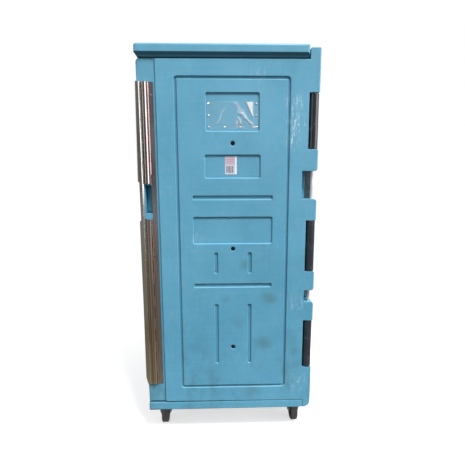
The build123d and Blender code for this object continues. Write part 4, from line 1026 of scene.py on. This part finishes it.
def tyre_surface(centre, axis, radius):
    """A tyre section, low-crowned on its tread with round shoulders, turned round the axle.

    The crown falls with the square of the distance from the middle of the tread.
    """
    angle = np.linspace(0, math.pi / 2, 7)
    shoulder = np.stack([radius - TYRE_SHOULDER + TYRE_SHOULDER * np.cos(angle),
                         TYRE_HALF_WIDTH - TYRE_SHOULDER + TYRE_SHOULDER * np.sin(angle)], -1)
    outer = np.concatenate([shoulder[::-1] * [1, -1], shoulder])
    outer[:, 0] += TYRE_CROWN * (1 - (outer[:, 1] / TYRE_HALF_WIDTH) ** 2) - TYRE_CROWN
    side = TYRE_HALF_WIDTH - TYRE_SIDE_STEP
    inner = np.array([[radius - TYRE_THICK, side], [radius - TYRE_THICK, -side]])
    return turned(np.concatenate([outer, inner]), centre, axis, 96)


# ---------- stage
class CARRIER_OT_stage(bpy.types.Operator):
    """Make the floor, the high soft light, the surroundings and the camera"""

    bl_idname = "carrier.stage"
    bl_label = "Stage"

    def execute(self, context):
        settings = context.scene.carrier_stage
        context.scene.view_settings.view_transform = "Standard"
        make_floor(settings)
        make_key(settings)
        make_sky(settings)
        make_camera(settings)
        return {"FINISHED"}


def make_floor(settings):
    """A wide pale floor that meets the white surroundings and throws little light back up."""
    material, tree, shader = new_material("floor", 0.9)
    path = add(tree, "ShaderNodeLightPath").outputs
    seen = most(tree, path["Is Camera Ray"],
                times(tree, path["Is Glossy Ray"], settings.floor_mirrored))
    mist = patches(tree, 0.8, 0.2, 0.8)
    colour = blend_colour(tree, mist, settings.floor, dimmed(settings.floor, 0.98))
    colour = blend_colour(tree, seen, settings.bounce, colour)
    away = add(tree, "ShaderNodeVectorMath", {0: object_place(tree)}, operation="LENGTH")
    away = away.outputs["Value"]
    far = ramp(tree, away, FLOOR_NEAR, FLOOR_FAR)
    feed(tree, shader, blend_colour(tree, far, colour, (0, 0, 0)))
    glow = times(tree, ramp(tree, away, FLOOR_NEAR, FLOOR_FAR, settings.floor_glow, 1.0), seen)
    tree.links.new(blend_colour(tree, glow, (0, 0, 0), (1, 1, 1)), shader.inputs["Emission Color"])
    shader.inputs["Emission Strength"].default_value = 1.0
    mesh = bpy.data.meshes.new("floor")
    sides = ((-1, -1), (1, -1), (1, 1), (-1, 1))
    corners = [(x * FLOOR_REACH, y * FLOOR_REACH, 0) for x, y in sides]
    mesh.from_pydata(corners, [], [(0, 1, 2, 3)])
    mesh.materials.append(material)
    floor = put_in_scene("floor", mesh)


def make_key(settings):
    """An even soft light from high above the front right."""
    data = bpy.data.lights.new("key", "SUN")
    data.energy = settings.key
    data.angle = settings.key_softness
    lamp = put_in_scene("key", data)
    lamp.location = KEY_DIRECTION * KEY_DISTANCE
    lamp.rotation_euler = KEY_DIRECTION.to_track_quat("Z", "Y").to_euler()


def make_sky(settings):
    """Surroundings that are dim below and light above, with a bright panel at each side.

    The level rises smoothly with the direction's height. Each panel is where the direction is far
    enough to its side, near level and not behind. The camera sees plain white instead.
    """
    world = bpy.data.worlds.new("surroundings")
    bpy.context.scene.world = world
    world.use_nodes = True
    tree = world.node_tree
    tree.nodes.clear()
    direction = add(tree, "ShaderNodeTexCoord").outputs["Generated"]
    parts = add(tree, "ShaderNodeSeparateXYZ", {"Vector": direction}).outputs
    level = ramp(tree, parts["Z"], -0.25, 0.9, 0.10, 1.0)
    beside = times(tree, band(tree, parts["Z"], -0.5, 0.5), ramp(tree, parts["Y"], 0.15, -0.05))
    for low, high, strength in ((0.55, 0.80, settings.right_panel),
                                (-0.60, -0.85, settings.left_panel)):
        panel = times(tree, ramp(tree, parts["X"], low, high, 0.0, strength), beside)
        level = plus(tree, level, panel)
    shade = add(tree, "ShaderNodeCombineColor", {"Red": level, "Green": level, "Blue": level})
    light = add(tree, "ShaderNodeBackground", {"Color": shade.outputs[0], "Strength": settings.sky})
    white = add(tree, "ShaderNodeBackground", {"Color": (1, 1, 1), "Strength": 1.0})
    seen = add(tree, "ShaderNodeLightPath").outputs["Is Camera Ray"]
    mixed = add(tree, "ShaderNodeMixShader", {0: seen, 1: light.outputs[0], 2: white.outputs[0]})
    add(tree, "ShaderNodeOutputWorld", {"Surface": mixed.outputs[0]})


def make_camera(settings):
    """A camera in front of the door, tilted down and turned a little to the right."""
    data = bpy.data.cameras.new("camera")
    data.sensor_width = SENSOR_WIDTH
    data.lens = settings.lens
    data.clip_end = CAMERA_REACH
    camera = put_in_scene("camera", data)
    door_middle = (DOOR_LOW.x + DOOR_HIGH.x) / 2
    camera.location = (door_middle - settings.aside, FACE_Y - settings.distance, settings.height)
    level = Matrix.Rotation(math.radians(90), 4, "X")
    tilt = Matrix.Rotation(-settings.tilt, 4, "X")
    turn = Matrix.Rotation(-settings.turn, 4, "Z")
    roll = Matrix.Rotation(CAMERA_ROLL, 4, "Z")
    camera.rotation_euler = (turn @ tilt @ level @ roll).to_euler()
    bpy.context.scene.camera = camera


# ---------- add-on
class CARRIER_PT_panel(bpy.types.Panel):
    """Lists the makers of the carrier's pieces."""

    bl_label = "Insulated Food Carrier"
    bl_idname = "CARRIER_PT_panel"
    bl_space_type = "VIEW_3D"
    bl_region_type = "UI"
    bl_category = "Carrier"

    def draw(self, context):
        for maker in MAKERS:
            self.layout.operator(maker.bl_idname)
        for name in SETTINGS:
            settings = getattr(context.scene, name)
            box = self.layout.box()
            for key in settings.bl_rna.properties.keys():
                if key not in ("rna_type", "name"):
                    box.prop(settings, key)


SETTINGS = {
    "carrier_shell": ShellSettings,
    "carrier_latch": LatchSettings,
    "carrier_hardware": HardwareSettings,
    "carrier_casters": CasterSettings,
    "carrier_stage": StageSettings,
}
MAKERS = (CARRIER_OT_stage, CARRIER_OT_skins, CARRIER_OT_gasket, CARRIER_OT_hinges,
          CARRIER_OT_latch, CARRIER_OT_fittings, CARRIER_OT_rack, CARRIER_OT_casters)


def register():
    """Register the settings, the makers and the panel."""
    for name, kind in SETTINGS.items():
        bpy.utils.register_class(kind)
        setattr(bpy.types.Scene, name, PointerProperty(type=kind))
    for kind in (*MAKERS, CARRIER_PT_panel):
        bpy.utils.register_class(kind)


def unregister():
    """Take everything out again."""
    for kind in (CARRIER_PT_panel, *reversed(MAKERS)):
        bpy.utils.unregister_class(kind)
    for name, kind in reversed(SETTINGS.items()):
        delattr(bpy.types.Scene, name)
        bpy.utils.unregister_class(kind)


def main():
    """Make every piece in order."""
    register()
    for maker in MAKERS:
        group, name = maker.bl_idname.split(".")
        getattr(getattr(bpy.ops, group), name)()
    bpy.context.view_layer.update()


if __name__ == "__main__":
    main()
